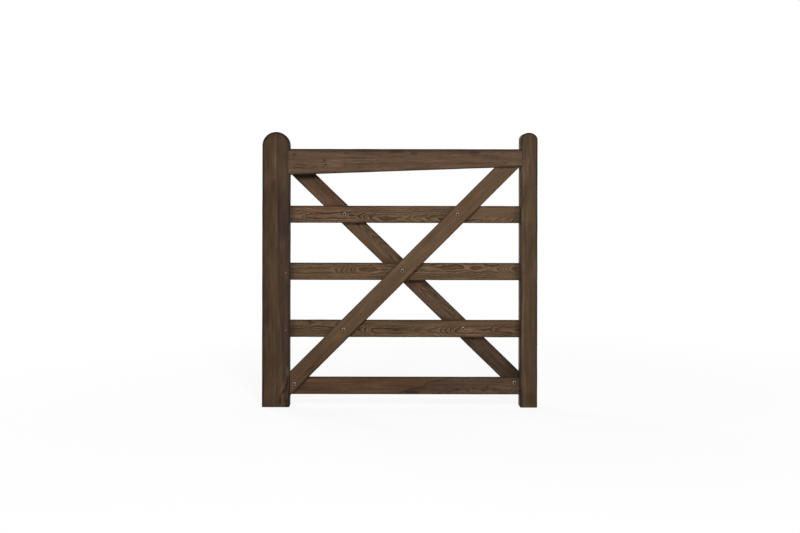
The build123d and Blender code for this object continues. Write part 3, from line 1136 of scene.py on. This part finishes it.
@dataclass
class Bolts:
    """The round-headed bolts, each turned on a lathe and broached with a six-sided socket."""

    finish: ZincPlatedSteel
    seed: int = 7
    head_height: float = 3.2 * MM
    rim_height: float = 1.4 * MM
    head_radius: float = 8.5 * MM
    shank_radius: float = 4 * MM
    shank_chamfer: float = 1 * MM
    rim_chamfer: float = 0.3 * MM
    dome_edge: float = 0.2 * MM
    dome_inset: float = 0.25 * MM
    dome_ends: float = 5.3 * MM
    dome_points: int = 8
    lip: float = 0.05 * MM
    mouth_radius: float = 5 * MM
    mouth_depth: float = 0.8 * MM
    mouth_flats: float = 0.1
    socket_radius: float = 3.4 * MM
    socket_depth: float = 2.5 * MM
    cone: float = 0.25 * MM
    angles: int = 72

    def profile(self, length: float) -> tuple[Array, Array, Array, Array]:
        """Half section of a bolt, from the shank's end to the middle of the socket's floor.

        The crown is the arc of a circle that is level at the axis, y = R - sqrt(R squared - r squared).

        Args:
            length: Length of the shank below the head.

        Returns:
            Radius, depth below the board's face, how six-sided each ring is, and how much dirt and painted
            shade it gets.
        """
        sag = self.head_height - self.rim_height
        crown = (self.head_radius**2 + sag**2) / (2 * sag)
        domed = np.linspace(self.head_radius - self.dome_inset, self.dome_ends, self.dome_points)
        dome = crown - np.sqrt(crown**2 - domed**2) - self.head_height
        mouth = dome[-1] - self.lip
        floor = self.socket_depth - self.head_height
        shank = self.shank_radius
        rim = self.head_radius
        chamfer = self.rim_chamfer
        turned = [
            (0.0, length), (shank - self.shank_chamfer, length), (shank, length - self.shank_chamfer),
            (shank, 0.0), (rim - chamfer, 0.0), (rim, -chamfer), (rim, self.dome_edge - self.rim_height),
            *zip(domed, dome),
        ]
        # The mouth and the socket are painted dark: dirt, and the shade inside the recess
        broached = [
            (self.mouth_radius, mouth, self.mouth_flats, 1),
            (self.socket_radius, mouth + self.mouth_depth, 1, 1),
            (self.socket_radius, floor, 1, 1),
            (self.socket_radius / 2, floor + 0.4 * self.cone, 1, 1),
            (0.0, floor + self.cone, 0, 1),
        ]
        return tuple(np.array([*((*point, 0, 0) for point in turned), *broached]).T)

    def make(self) -> None:
        """Builds every bolt: the half section is swept round, its radius drawn to a hexagon in the socket."""
        steel = self.finish.material()
        rng = np.random.default_rng(self.seed)
        sixth = math.pi / 3
        sweep = np.linspace(0, 2 * math.pi, self.angles, endpoint=False)
        hexagon = math.cos(sixth / 2) / np.cos(sweep % sixth - sixth / 2)
        for node in named("bolt_"):
            low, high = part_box(node)
            face = low.y + self.head_height
            radius, below, flats, dirt_and_shade = (values[:, None] for values in self.profile(high.y - face))
            reach = radius * (1 + flats * (hexagon - 1))
            turned = sweep + rng.uniform(0, sixth)
            x = (low.x + high.x) / 2 + reach * np.cos(turned)
            z = (low.z + high.z) / 2 + reach * np.sin(turned)
            shell = Shell()
            shell.lay(x, face + below, z, True, socket=dirt_and_shade)
            shell.install(node, "steel", "zinc_plated_steel", steel)


@dataclass
class SmallParts:
    """Sleeve nuts and dowel pins, whose nodes keep their shape and get a finish."""

    steel: ZincPlatedSteel
    dark: DowelEndGrain
    stained: DowelEndGrain
    rubbed: DowelEndGrain
    rubbed_pins: tuple[str, ...]

    def dress(self) -> None:
        """Gives each nut and each pin its finish."""
        finishes = dict.fromkeys(named("sleeve_nut_"), self.steel.material())
        finishes |= dict.fromkeys(named("pin_", "hanging"), self.dark.material())
        finishes |= dict.fromkeys(named("pin_", "closing"), self.stained.material())
        finishes |= dict.fromkeys(self.rubbed_pins, self.rubbed.material())
        for name, finish in finishes.items():
            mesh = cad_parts[name].data
            mesh.materials.clear()
            mesh.materials.append(finish)
            LOG.info("%s: %s", name, finish.name)


@dataclass(frozen=True)
class Lamp:
    """A large soft lamp: its power in watts, its place and the length of its side."""

    name: str
    power: float
    place: tuple[float, float, float]
    size: float


@dataclass
class Studio:
    """White sweep, soft light and the camera, whose eye level and focal length are counted in pixels."""

    picture: tuple[int, int] = (800, 533)
    eye_level: tuple[float, float] = (376.3, 188.9)
    focal_px: float = 1141.2
    roll: float = -0.0018
    stand: tuple[float, float, float] = (-0.103, -5.005, 0.952)
    sensor: float = 36.0
    fill: float = 0.36
    lamps: tuple[Lamp, ...] = (
        Lamp("soft_key", 325.0, (0.9, -6.0, 4.5), 1.2),
        Lamp("soft_back", 250.0, (-4.2, 4.8, 3.0), 2.8),
    )
    aim: tuple[float, float, float] = (0.0, 0.0, 0.6)
    floor_reach: float = 40.0
    floor_tone: str = "#f7f7f5"
    shadow: float = 0.13
    shadow_reach: tuple[float, float] = (0.9, 3.2)

    def seen(self, tree: Tree) -> Socket:
        """Tells rays that look at the sweep, straight or in a reflection, from rays that gather light.

        Args:
            tree: The nodes that ask.

        Returns:
            1 for a ray that looks.
        """
        path = add(tree, "LightPath").node.outputs
        pair = add(tree, "Math", {0: path["Is Camera Ray"], 1: path["Is Glossy Ray"]}, operation="MAXIMUM")
        return add(tree, "Math", {0: pair, 1: path["Is Transmission Ray"]}, operation="MAXIMUM")

    def world(self) -> None:
        """Makes a sky that is white to look at and lights the timber softly."""
        sky = bpy.data.worlds.new("white_sweep")
        bpy.context.scene.world = sky
        sky.use_nodes = True
        tree = sky.node_tree
        tree.nodes.clear()
        white = add(tree, "Background", {"Color": WHITE, "Strength": 1.0})
        light = add(tree, "Background", {"Color": WHITE, "Strength": self.fill})
        either = add(tree, "MixShader", {0: self.seen(tree), 1: light, 2: white})
        add(tree, "OutputWorld", {"Surface": either})

    def floor(self) -> None:
        """Lays a pale floor that is nearly white to look at and keeps a soft shadow."""
        reach = self.floor_reach
        corners = [(-reach, -reach, 0.0), (reach, -reach, 0.0), (reach, reach, 0.0), (-reach, reach, 0.0)]
        mesh = bpy.data.meshes.new("floor")
        mesh.from_pydata(corners, [], [(0, 1, 2, 3)])
        floor = bpy.data.objects.new("floor", mesh)
        bpy.context.scene.collection.objects.link(floor)
        material, tree = blank("pale_floor")
        paint = add(tree, "BsdfDiffuse", {"Color": linear(self.floor_tone)})
        glow = add(tree, "Emission", {"Color": WHITE, "Strength": 1.0})
        place = add(tree, "TexCoord", None, "Object")
        away = add(tree, "VectorMath", {0: place}, "Value", operation="LENGTH")
        near, far = self.shadow_reach
        fading = add(tree, "MapRange", {0: away, 1: near, 2: far, 3: 1.0 - self.shadow, 4: 1.0}, **SOFT)
        share = add(tree, "Math", {0: self.seen(tree), 1: fading}, operation="MULTIPLY")
        add(tree, "OutputMaterial", {"Surface": add(tree, "MixShader", {0: share, 1: paint, 2: glow})})
        mesh.materials.append(material)

    def light(self) -> None:
        """Hangs the soft lamps, one in front of the leaf and a weaker one behind, turned to its middle."""
        for lamp in self.lamps:
            data = bpy.data.lights.new(lamp.name, "AREA")
            data.energy = lamp.power
            data.shape = "SQUARE"
            data.size = lamp.size
            hung = bpy.data.objects.new(lamp.name, data)
            bpy.context.scene.collection.objects.link(hung)
            hung.location = lamp.place
            x, y, z = np.subtract(self.aim, lamp.place)
            hung.rotation_euler = (math.atan2(math.hypot(x, y), -z), 0.0, math.atan2(-x, y))

    def camera(self) -> None:
        """Stands a level camera at eye height, its picture shifted so that the leaf sits as it was framed."""
        data = bpy.data.cameras.new("camera")
        camera = bpy.data.objects.new("camera", data)
        bpy.context.scene.collection.objects.link(camera)
        width, height = self.picture
        data.sensor_width = self.sensor
        data.lens = self.focal_px * self.sensor / width
        data.shift_x = (width / 2 - self.eye_level[0]) / width
        data.shift_y = (self.eye_level[1] - height / 2) / width
        camera.location = self.stand
        camera.rotation_euler = (QUARTER_TURN, self.roll, 0.0)
        bpy.context.scene.camera = camera

    def set_up(self) -> None:
        """Makes the whole studio."""
        self.world()
        self.floor()
        self.light()
        self.camera()
        bpy.context.scene.view_settings.view_transform = "Standard"


def stile_woods() -> tuple[StainedSoftwood, StainedSoftwood]:
    """Finishes of the uprights, where across counts from the middle towards the left.

    Returns:
        The hanging stile's and the closing stile's.
    """
    hanging = StainedSoftwood(
        Cut.QUARTER, 1, tone=0.505, early="#654f3c", ring=5, contrast=0.5, jag=1.5, fibre=0.16, streak=0.17,
        seams=(
            Seam(
                (-640, -466, -380, -297, -220, -139, 0, 127, 355, 491, 640),
                (-40, -35, -32, -29, -22, -16, -12, -11, -10, -8, -5),
                0.7, 2.4, 1.27, 25, 0.95, Stain.PURPLE, 0.4,
            ),
        ),
        figures=(
            Figure(602, 0, 14, 52, 0.5, Stain.PURPLE, 0.7, core=0.2),
            Figure(600, 0, 36, 66, 0.84, Stain.PURPLE, 0.35, core=0.1),
            Figure(232, -36, 125, 36, 0.84, Stain.PURPLE, 0.5, core=0.65),
            Figure(470, -34, 150, 34, 1.14, Stain.OLIVE, 0.4, core=0.6),
            Figure(-281, 50, 36, 16, 0.8, Stain.PURPLE, 0.6, core=0),
            Figure(-205, 44, 65, 19, 0.8, Stain.PURPLE, 0.6, core=0.4),
            Figure(-80, 45, 110, 26, 0.92, Stain.PURPLE, 0.4, core=0),
            Figure(77, 37, 40, 3, 0.66),
            Figure(255, 40, 115, 24, 0.82, Stain.RED, 0.2, core=0.7),
            Figure(446, 17, 90, 34, 1.16, Stain.OLIVE, 0.4, core=0.1),
            Figure(-340, 12, 80, 44, 1.08, Stain.OLIVE, 0.4, core=0),
            Figure(-480, 0, 26, 18, 1.02, Stain.RED, 0.45, core=0.5),
            Figure(-378, 0, 24, 18, 1, Stain.RED, 0.45, core=0.5),
            Figure(-424, 38, 30, 14, 1, Stain.OLIVE, 0.5),
            Figure(-330, 24, 78, 8, 0.84, Stain.RED, 0.5),
            Figure(-260, -44, 190, 20, 0.94, Stain.PURPLE, 0.3, core=0.6),
            Figure(10, 14, 115, 20, 1.06, Stain.OLIVE, 0.4),
            Figure(110, -20, 24, 44, 1.1, Stain.RED, 0.3, core=0),
            Figure(-133, -44, 22, 10, 1, Stain.OLIVE, 0.5, core=0.5),
            Figure(-40, -50, 24, 2.4, 1.3),
            Figure(398, 8, 18, 12, 1.22, Stain.RED, 0.3),
            Figure(398, 35, 36, 18, 1.14),
            Figure(478, 2.5, 52, 5, 1.32),
            Figure(275, -10, 105, 5, 0.78),
            Figure(512, -12, 36, 6, 0.95, Stain.RED, 0.5, core=0.5),
            # Darker rims on the arch's shoulders: purple stain and painted arris shade
            Figure(578, 39, 36, 8, 0.5, Stain.PURPLE, 0.4, turn=-42),
            Figure(580, -41, 32, 7, 0.6, Stain.PURPLE, 0.4, turn=42),
            # Painted light on the inner arris, which takes back part of its painted shade, most where the
            # front brace meets it
            Figure(-489, -57, 58, 5, 1.6, core=0.6),
            Figure(0, -57, 620, 5.5, 1.36, core=0.6),
            Figure(100, -35, 75, 28, 1.14),
            Figure(0, -38, 60, 22, 1.07),
            Figure(100, 48, 110, 14, 0.9),
            Figure(-200, 30, 70, 12, 0.86),
            Figure(-300, 24, 44, 10, 0.88),
            Figure(425, 10, 64, 14, 1.15),
            # Painted light that lifts the shade in the crease where the top rail is housed
            Figure(470, -52.5, 76, 3.5, 1.4, core=0.6),
            Figure(-512, 2, 24, 2.2, 1.5),
            Figure(-504, 11, 6, 6, 0.7, Stain.OLIVE, 0.6),
            Figure(-530, 57, 95, 7, 0.55),
            Figure(-560, -44, 66, 26, 0.9, lift=14),
            Figure(-570, -20, 26, 4.5, 0.27),
            Figure(-531, -31, 26, 4.5, 0.27, turn=-32),
            Figure(-505, -48, 40, 4, 0.3, turn=-8),
            Figure(-574, -47, 12, 5, 0.5, turn=-35),
            Figure(-592, -48, 6, 10, 0.55),
            Figure(-586, -39, 10, 4, 1.9),
            Figure(-546, -37, 30, 5, 1.25, turn=-26),
            Figure(-545, -50, 26, 3, 1.5, turn=-4),
            Figure(-522, -29, 32, 5, 1.4, turn=-22),
            Figure(-498, -36, 24, 4, 1.6, turn=-12),
            Figure(-444, -52, 30, 10, 1.3, Stain.CHALK, 0.9),
        ),
    )
    closing = StainedSoftwood(
        Cut.QUARTER, 4, tone=0.605, early="#645140", ring=5, contrast=0.45, jag=1.5, fibre=0.16, streak=0.17,
        arris_shade=0.4,
        seams=(
            # Past the seam the inner arris is stained purple and painted lighter, which takes back part of
            # its painted shade
            Seam(
                (-640, -519, -437, -274, -176, -84, 3, 60, 200, 260, 320, 640),
                (18, 19.5, 26, 32.5, 30, 26, 28.5, 33, 35, 33, 35, 36),
                0.85, 2.5, 1.32, 14, 1.15, Stain.PURPLE, 0.4, side=-1,
            ),
        ),
        figures=(
            Figure(-562, -10, 38, 40, 0.8, Stain.OLIVE, 0.6, core=0.2),
            Figure(-560, 32, 66, 9, 0.76, Stain.PURPLE, 0.6, core=0.6),
            Figure(-290, 24, 125, 9, 1.2),
            Figure(105, 23, 44, 11, 1.2),
            Figure(30, 20, 40, 8, 1.12),
            Figure(-140, 22, 64, 8, 1.15, Stain.RED, 0.3),
            Figure(-33, 20.5, 28, 2.6, 1.35),
            Figure(-235, -31.5, 95, 2.6, 0.6),
            Figure(405, -31.5, 110, 2.6, 0.55),
            Figure(395, 22, 44, 10, 1.22),
            Figure(572, -20, 18, 13, 0.76),
            Figure(560, 31, 30, 7, 0.66),
            Figure(-513, -6, 32, 60, 1.08, Stain.RED, 0.3, core=0),
            Figure(-279, -6, 28, 60, 1.08, Stain.RED, 0.35, core=0),
            Figure(-154, -6, 115, 34, 0.9, Stain.OLIVE, 0.5, core=0.1),
            Figure(-21, -4, 36, 60, 1.1, Stain.RED, 0.4, core=0.2),
            Figure(112, -24, 74, 18, 0.78, Stain.OLIVE, 0.4),
            Figure(245, -2, 76, 44, 1.16, Stain.OLIVE, 0.3),
            Figure(242, 28, 38, 5, 1.3),
            Figure(302, 26, 32, 5.5, 0.62, turn=-8),
            Figure(360, 0, 54, 50, 0.95, Stain.RED, 0.3, core=0),
            Figure(440, 5, 66, 50, 1.2, Stain.RED, 0.2, core=0.1),
            Figure(495, 11, 34, 3.4, 1.45),
            Figure(476, 2, 26, 3, 1.35),
            Figure(505, -8, 22, 2.6, 1.3),
            Figure(560, 0, 46, 50, 1, Stain.OLIVE, 0.4, core=0),
            Figure(601, 0, 12, 36, 0.5, Stain.PURPLE, 0.7, core=0.2),
            Figure(-430, -6, 170, 60, 0.93),
        ),
    )
    return hanging, closing


def rail_woods() -> tuple[StainedSoftwood, ...]:
    """Finishes of the cross rails, where across counts upwards.

    Returns:
        Those of the top rail and of the four thin rails, from above.
    """
    # Both ends of the thin rails are darker next to the stiles: stain gathered at the joints, and painted
    # shade of the stiles
    joint_stain_and_shade = (
        Figure(-494, 0, 32, 90, 0.72, Stain.GREY, 0.52),
        Figure(514, 0, 32, 90, 0.67, Stain.GREY, 0.52),
    )
    top = StainedSoftwood(
        Cut.QUARTER, 7, tone=0.81, early="#665040", ring=4, contrast=0.6, jag=1.5, streak=0.26, dashes=0.3,
        figures=(
            Figure(0, 66, 2500, 34, 0.25, core=0.1),
            Figure(-473, 33, 14, 8, 0.64),
            Figure(-244, 39, 17, 4.5, 0.61),
            Figure(-29, 46, 50, 12, 0.77, Stain.PURPLE),
            Figure(50, 37, 28, 9, 0.70, Stain.PURPLE, 0.78),
            Figure(312, 40, 34, 13, 0.76, Stain.PURPLE),
            Figure(-443, -13, 32, 2.6, 0.42, turn=-12),
            Figure(-385, -21, 34, 2.6, 0.45, turn=-3),
            Figure(-345, -21, 26, 2.4, 0.5, turn=5),
            Figure(-455, -24, 30, 2.4, 0.52, turn=-14),
            Figure(-200, -3, 42, 4, 1.27),
            Figure(-249, -12, 9, 7, 0.73),
            Figure(-190, -24, 19, 2.4, 0.55),
            Figure(-151, -33, 12, 2.2, 0.64),
            Figure(-184, -41, 6, 3, 0.25),
            Figure(-296, -45, 6, 3, 0.25),
            Figure(475, -7, 32, 6, 1.06, Stain.ORANGE, 0.3),
            Figure(-342, 5, 32, 20, core=0.1, lift=9.6),
            Figure(-342, 5, 8.8, 5.5, 0.45, core=0.636),
            Figure(-336, -11, 25.6, 16, core=0.1, lift=9.6),
            Figure(-336, -11, 7.04, 4.4, 0.45, core=0.636),
        ),
    )
    second = StainedSoftwood(
        Cut.FLAT, 2, tone=0.92,
        course=Course(
            (-560, -470, -446, -428, -416, -340, -250, -195, -190, -172, -146, -136, -104, -70, -36, -10,
             19, 44, 100, 148, 250, 320, 487, 580),
            (-9, -10, -9, -8, -8, -6, -4, -8, -9, -11, -13, -14, -17, -18, -17, -16, -16, -16, -17, -18,
             -30, -38, -40, -40),
            (0, -0.1, -0.2, -1.2, -1.8, -1.9, -1.95, -2.1, -2.2, -3.2, -4.2, -4.6, -5.2, -5.32, -5.2, -5.08,
             -5.2, -6.2, -7.2, -8.2, -8.8, -9.2, -16.2, -18.2),
        ),
        figures=(
            Figure(-70, -18, 36, 4, 0.78, Stain.RED, 0.4, core=0.4),
            Figure(-70, 0, 200, 70, 0.9),
            Figure(400, 8, 140, 70, 1.07),
            Figure(415, 0, 110, 70, calm=0.85, core=0.7),
            *(Figure(along, across, size, 3.6, 0.56, turn=turn, core=0.3) for along, across, size, turn in (
                (347, -25, 15, 62), (366, -12, 18, 18), (381, -28, 8, 80),
                (416, -20, 28, 26), (462, -19, 28, 28), (486, -24, 20, 46)
            )),
            *(Figure(along, across, size, 4, 1.3, turn=turn, core=0.3) for along, across, size, turn in (
                (354, -22, 13, 62), (398, -27, 16, 20), (412, -14, 28, 18),
                (446, -27, 20, 14), (452, -14, 28, 22), (476, -18, 20, 40)
            )),
            joint_stain_and_shade[0],
            Figure(514, 0, 44, 90, 0.78, Stain.GREY, 0.35),
            Figure(410, 33, 90, 3.4, 0.62),
        ),
    )
    middle = StainedSoftwood(
        Cut.FLAT, 3, tone=0.905, contrast=1.05,
        course=Course(
            (-560, -430, -360, -306, -275, -255, -231, -215, -203, -180, -151, -120, -100, -60, -30, 60,
             120, 160, 190, 219, 250, 275, 286, 298, 330, 360, 385, 411, 427, 443, 459, 475, 500, 580),
            (2, 4, 6, 6, 6, 7, 7, 7, 8, 8, 8, 8, 8, 9, 10, 12, 16, 20, 21, 21, 21, 20, 19, 18, 17, 16, 14,
             12, 11, 11, 11, 11, 11, 11),
            (-0.7, -0.85, -0.95, -1.2, -2.2, -3.2, -4.2, -5.2, -6.15, -6.5, -6.65, -6.5, -6.15, -6, -5.6,
             -4.85, -4.95, -5.15, -5.5, -5.65, -5.5, -5.15, -5.05, -5.15, -5.6, -5.15, -4.95, -5.2, -6.2,
             -7.2, -8.2, -9.2, -9.6, -10),
        ),
        figures=(
            Figure(-151, 8, 50, 14, 0.96, Stain.RED, 0.25, core=0.4),
            Figure(-330, 0, 170, 70, 0.95, calm=0.3),
            Figure(-410, 5, 72, 10, 1.1, Stain.OLIVE, 0.25),
            Figure(-385, 17, 78, 3.2, 0.8, turn=-6),
            Figure(-385, -8, 78, 3.2, 0.82, turn=5),
            Figure(219, 21, 58, 10, 0.95, Stain.RED, 0.2, core=0.4),
            Figure(320, -14, 200, 60, 1.06),
            Figure(331, 16, 29, 9, 0.98, Stain.RED, 0.2, core=0.3),
            *joint_stain_and_shade,
        ),
    )
    lower = StainedSoftwood(
        Cut.FLAT, 5, tone=0.855, contrast=1,
        course=Course(
            (-560, -420, -380, -300, -195, -171, -151, -140, -120, -60, 36, 92, 156, 179, 203, 219, 229,
             264, 360, 386, 406, 450, 580),
            (24, 24, 24, 20, -4, -4, -4, -5, -8, -10, -9, -9, -9, -9, -10, -11, -11, -8, -4, -1, -2, -4, -6),
            (-0.9, -0.85, -0.1, -0.2, -1.2, -2.2, -3.2, -4.2, -4.7, -4.74, -5.2, -6.2, -7.2, -8.2, -9.2,
             -10.2, -11.2, -11.9, -12.1, -12.2, -13.2, -13.8, -14.5),
        ),
        figures=(
            Figure(312, -27, 44, 7, 1.3, core=0.5),
            Figure(312, -16, 48, 4, 0.7),
            Figure(-420, 0, 130, 70, 0.92),
            Figure(160, 24, 330, 17, calm=0.5, core=0.6),
            Figure(60, -4, 95, 30, calm=0.35, core=0.5),
            *joint_stain_and_shade,
        ),
    )
    bottom = StainedSoftwood(
        Cut.FLAT, 6, tone=0.65, contrast=0.65,
        course=Course(
            (-560, -100, 200, 238, 413, 580),
            (-50, -46, -38, -36, -36, -36),
            (0, -1.2, -1.9, -2.7, -9.2, -10.8),
        ),
        seams=(
            Seam(
                (-580, -60, -20, 10, 45, 85, 102, 116, 172, 194, 260, 580),
                (-46, -44, -38, -24, -15, -9, 6, 15, 22, 30, 42, 48),
                0.54, 5, 1, 10, 1.03, Stain.PURPLE, 0.35,
            ),
        ),
        figures=(
            Figure(-260, 0, 420, 90, 1, Stain.RED, 0.4),
            Figure(44, -27, 46, 10, 0.58, Stain.GREY, 0.6, core=0.5),
            Figure(455, 0, 52, 42, 1.12, Stain.OLIVE, 0.4),
            # Painted shadow of the front brace on the rail
            Figure(-445, -8, 50, 30, 0.76, core=0.2),
            Figure(448, 25, 24, 12, 1.04, Stain.RED, 0.5),
            Figure(478, -17, 8, 3, 0.55),
            Figure(480, -9, 7, 2.4, 0.65),
            Figure(330, 8, 150, 40, 1.03, Stain.OLIVE, 0.35),
            *(Figure(along, across, 13, 7, 0.68) for along, across in (
                (240, -16), (284, -20), (313, -11), (354, -21), (372, -5), (402, -15)
            )),
            *(Figure(along, -24, 26, 5, 1.28) for along in (262, 335, 385)),
        ),
    )
    return top, second, middle, lower, bottom


def brace_woods() -> tuple[StainedSoftwood, StainedSoftwood]:
    """Finishes of the diagonals, where across counts towards their left when one looks up along them.

    Returns:
        The front brace's and the back brace's.
    """
    front = StainedSoftwood(
        Cut.QUARTER, 8, tone=0.85, flush="#684c3c", ring=4, contrast=0.4, jag=1, fibre=0.22,
        streak=0.09, blotch=0.13, arris_shade=0.48,
        figures=(
            Figure(-590, 30, 240, 90, 0.8, Stain.RED, 0.25, core=0.2),
            Figure(-610, 0, 140, 26, 0.86, Stain.OLIVE, 0.4),
            Figure(-580, 19, 44, 6, 0.76, turn=-4),
            Figure(-554, 16, 12, 6, 0.72),
            Figure(-615, 8.5, 46, 4, 1.25, turn=3),
            Figure(-390, 32, 200, 60, 0.93, core=0.45),
            # Painted light on the arrises: a dark line along the lower right one, as if in shade, and pale
            # ones along the upper left one, as if lit from above
            Figure(-330, -1, 420, 4.6, 0.72, core=0.6),
            Figure(20, 63, 330, 14, 1.12, core=0.2),
            Figure(0, 66.5, 900, 3.2, 1.2),
            Figure(0, -1.5, 900, 3.2, 0.76),
            Figure(-388, 30, 34, 24, 1.02, Stain.ORANGE, 0.44, core=0),
            Figure(-435, 14, 44, 18, 0.94, Stain.OLIVE, 0.5, core=0),
            Figure(55, 9, 115, 2.2, 1.3),
            Figure(190, 13, 62, 2, 1.25),
            Figure(195, 6, 62, 2, 1.25),
            Figure(180, 21, 52, 2, 1.2),
            Figure(326, 33, 22, 3, 1.25),
            Figure(368, 53, 15, 13, 1, Stain.ORANGE, 0.4, core=0),
            Figure(430, 34, 44, 28, 0.93, Stain.OLIVE, 0.42),
            Figure(482, 28, 30, 34, 1.03, Stain.RED, 0.3),
            # Painted shadow of the top rail across the brace's top
            Figure(658, 32.5, 72, 8, 0.4, turn=-43, core=0.4),
        ),
    )
    back = StainedSoftwood(
        Cut.FLAT, 9, tone=0.72, early="#655040",
        course=Course(
            (-700, -420, -310, -275, -235, -180, -130, -85, -40, 60, 130, 165, 197, 238, 290, 330, 376, 430,
             640, 700),
            (-34, -34, -42, -46, -46, -40, -34, -29, -30, -40, -46, -48, -48, -48, -48, -49, -50, -75, -78,
             -78),
            (0, -0.8, -1, -1.2, -1.9, -1.95, -1.9, -1.2, -0.95, -0.9, -0.75, -0.2, 0.8, 1.8, 2.8, 3.1, 3.15,
             3, 2.4, 2.2),
        ),
        figures=(
            Figure(-500, -30, 190, 110, 0.75, Stain.PURPLE, 0.35, core=0.6),
            Figure(-615, -58, 60, 40, 0.72, Stain.GREY, 0.5),
            Figure(-612, -40, 40, 26, 0.92, Stain.OLIVE, 0.5),
            Figure(-520, -35, 150, 50, calm=0.6, core=0.7),
            # Painted shadow of the lower rail
            Figure(-372, -20, 34, 60, 0.8, turn=45),
            # Just below the middle rail: painted shadow, with some purple stain
            Figure(-25, -50, 40, 60, 0.82, Stain.PURPLE, 0.4),
            Figure(-20, -18, 36, 40, 0.84),
            Figure(-195, -36, 130, 46, calm=0.6, core=0.6),
            Figure(-238, -35.5, 62, 3.6, 0.66, turn=1),
            Figure(-135, -30, 72, 3, 0.76, turn=6),
            Figure(-208, -53, 48, 5, 0.64, turn=13),
            Figure(-120, -38, 62, 3.2, 0.76, turn=10),
            # Painted contact shadow in a thin dark band
            Figure(-34, -28, 64, 6, 0.5, turn=45),
            Figure(-138, -54, 13, 6, 0.66, Stain.PURPLE, 0.4),
            Figure(-76, -57, 26, 14, 0.6, Stain.PURPLE, 0.4, turn=40),
            Figure(-50, -24, 56, 18, 0.88, Stain.RED, 0.4, turn=40),
            Figure(-298, -59, 22, 5, 0.75),
            Figure(215, -12, 150, 26, 1, Stain.RED, 0.12, core=0.5, calm=0.85),
            Figure(210, -44, 130, 26, 1.03, Stain.OLIVE, 0.2, core=0.5, calm=0.5),
            Figure(116, -22, 22, 3.4, 0.76),
            Figure(106, -38, 28, 3.2, 0.76, turn=-6),
            Figure(84, -54, 14, 12, 0.66),
            # Painted shadow of the second rail
            Figure(318, -47, 38, 6, 0.55, turn=44),
            # Painted shadow of the top rail, tinted olive
            Figure(636, -37, 85, 17, 0.3, Stain.OLIVE, 0.7, turn=44, core=0.5),
            Figure(520, -24, 130, 60, 1.1, Stain.RED, 0.3),
            *(Figure(555, -15 - 8.5 * step, 130, 3.4, 0.5, core=0.4) for step in range(6)),
            *(Figure(545, -10.8 - 8.5 * step, 130, 2.6, 1.3, core=0.4) for step in range(4)),
        ),
    )
    return front, back


def boards() -> list[Board]:
    """Lists the timber of the leaf with its finishes.

    Returns:
        The boards, in the order in which they are built.
    """
    left, right = opening()
    gap = 2 * MM
    hanging_pins = tuple(named("pin_", "hanging"))
    closing_pins = tuple(named("pin_", "closing"))
    hanging, closing = stile_woods()
    top, second, middle, lower, bottom = rail_woods()
    front, back = brace_woods()
    fronted = ("bolt_second_rail_right", "bolt_middle_rail", "bolt_lower_rail_left", "bolt_bottom_rail_left")
    return [
        Stile("hanging_stile", hanging, 11, 90.0, inward=1.0, rise=60 * MM, pins=hanging_pins),
        Stile("closing_stile", closing, 12, 90.0, inward=-1.0, rise=30 * MM, pins=closing_pins),
        Rail(
            "top_rail", top, 13, heel=TOP_RAIL_HEEL, toe=TOP_RAIL_TOE, housing=HOUSING, shoulder=20 * MM,
            tenon_half_depth=12 * MM, arris=4 * MM, profile=Profile(wide=26, narrow=16, arc=6),
        ),
        Rail("second_rail", second, 14, bolts=("bolt_second_rail_left",)),
        Rail("middle_rail", middle, 15),
        Rail("lower_rail", lower, 16, bolts=("bolt_lower_rail_right",)),
        Rail("bottom_rail", bottom, 17, bolts=("bolt_bottom_rail_right",)),
        Brace("front_brace", front, 18, 45.0, fronted, foot=(left, 100 * MM), end_x=left + gap),
        Brace(
            "back_brace", back, 19, 136.0, foot=(right, 100.5 * MM), end_x=right - gap,
            foot_level=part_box("bottom_rail")[0].z,
        ),
    ]


def main() -> None:
    """Builds the leaf's pieces in order, then the studio."""
    logging.basicConfig(level=logging.INFO, format="%(name)s: %(message)s")
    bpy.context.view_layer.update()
    for board in boards():
        board.make()
    Bolts(ZincPlatedSteel("zinc_plated_steel_head")).make()
    SmallParts(
        ZincPlatedSteel("zinc_plated_steel_nut"),
        DowelEndGrain("dowel_end_grain_dark", "#392c23", "#2e231b"),
        DowelEndGrain("dowel_end_grain_stained", "#4b3a2a", "#3c2d20"),
        DowelEndGrain("dowel_end_grain_rubbed", "#635546", "#483c32"),
        ("pin_middle_rail_hanging", "pin_lower_rail_hanging"),
    ).dress()
    Studio().set_up()


if __name__ == "__main__":
    main()
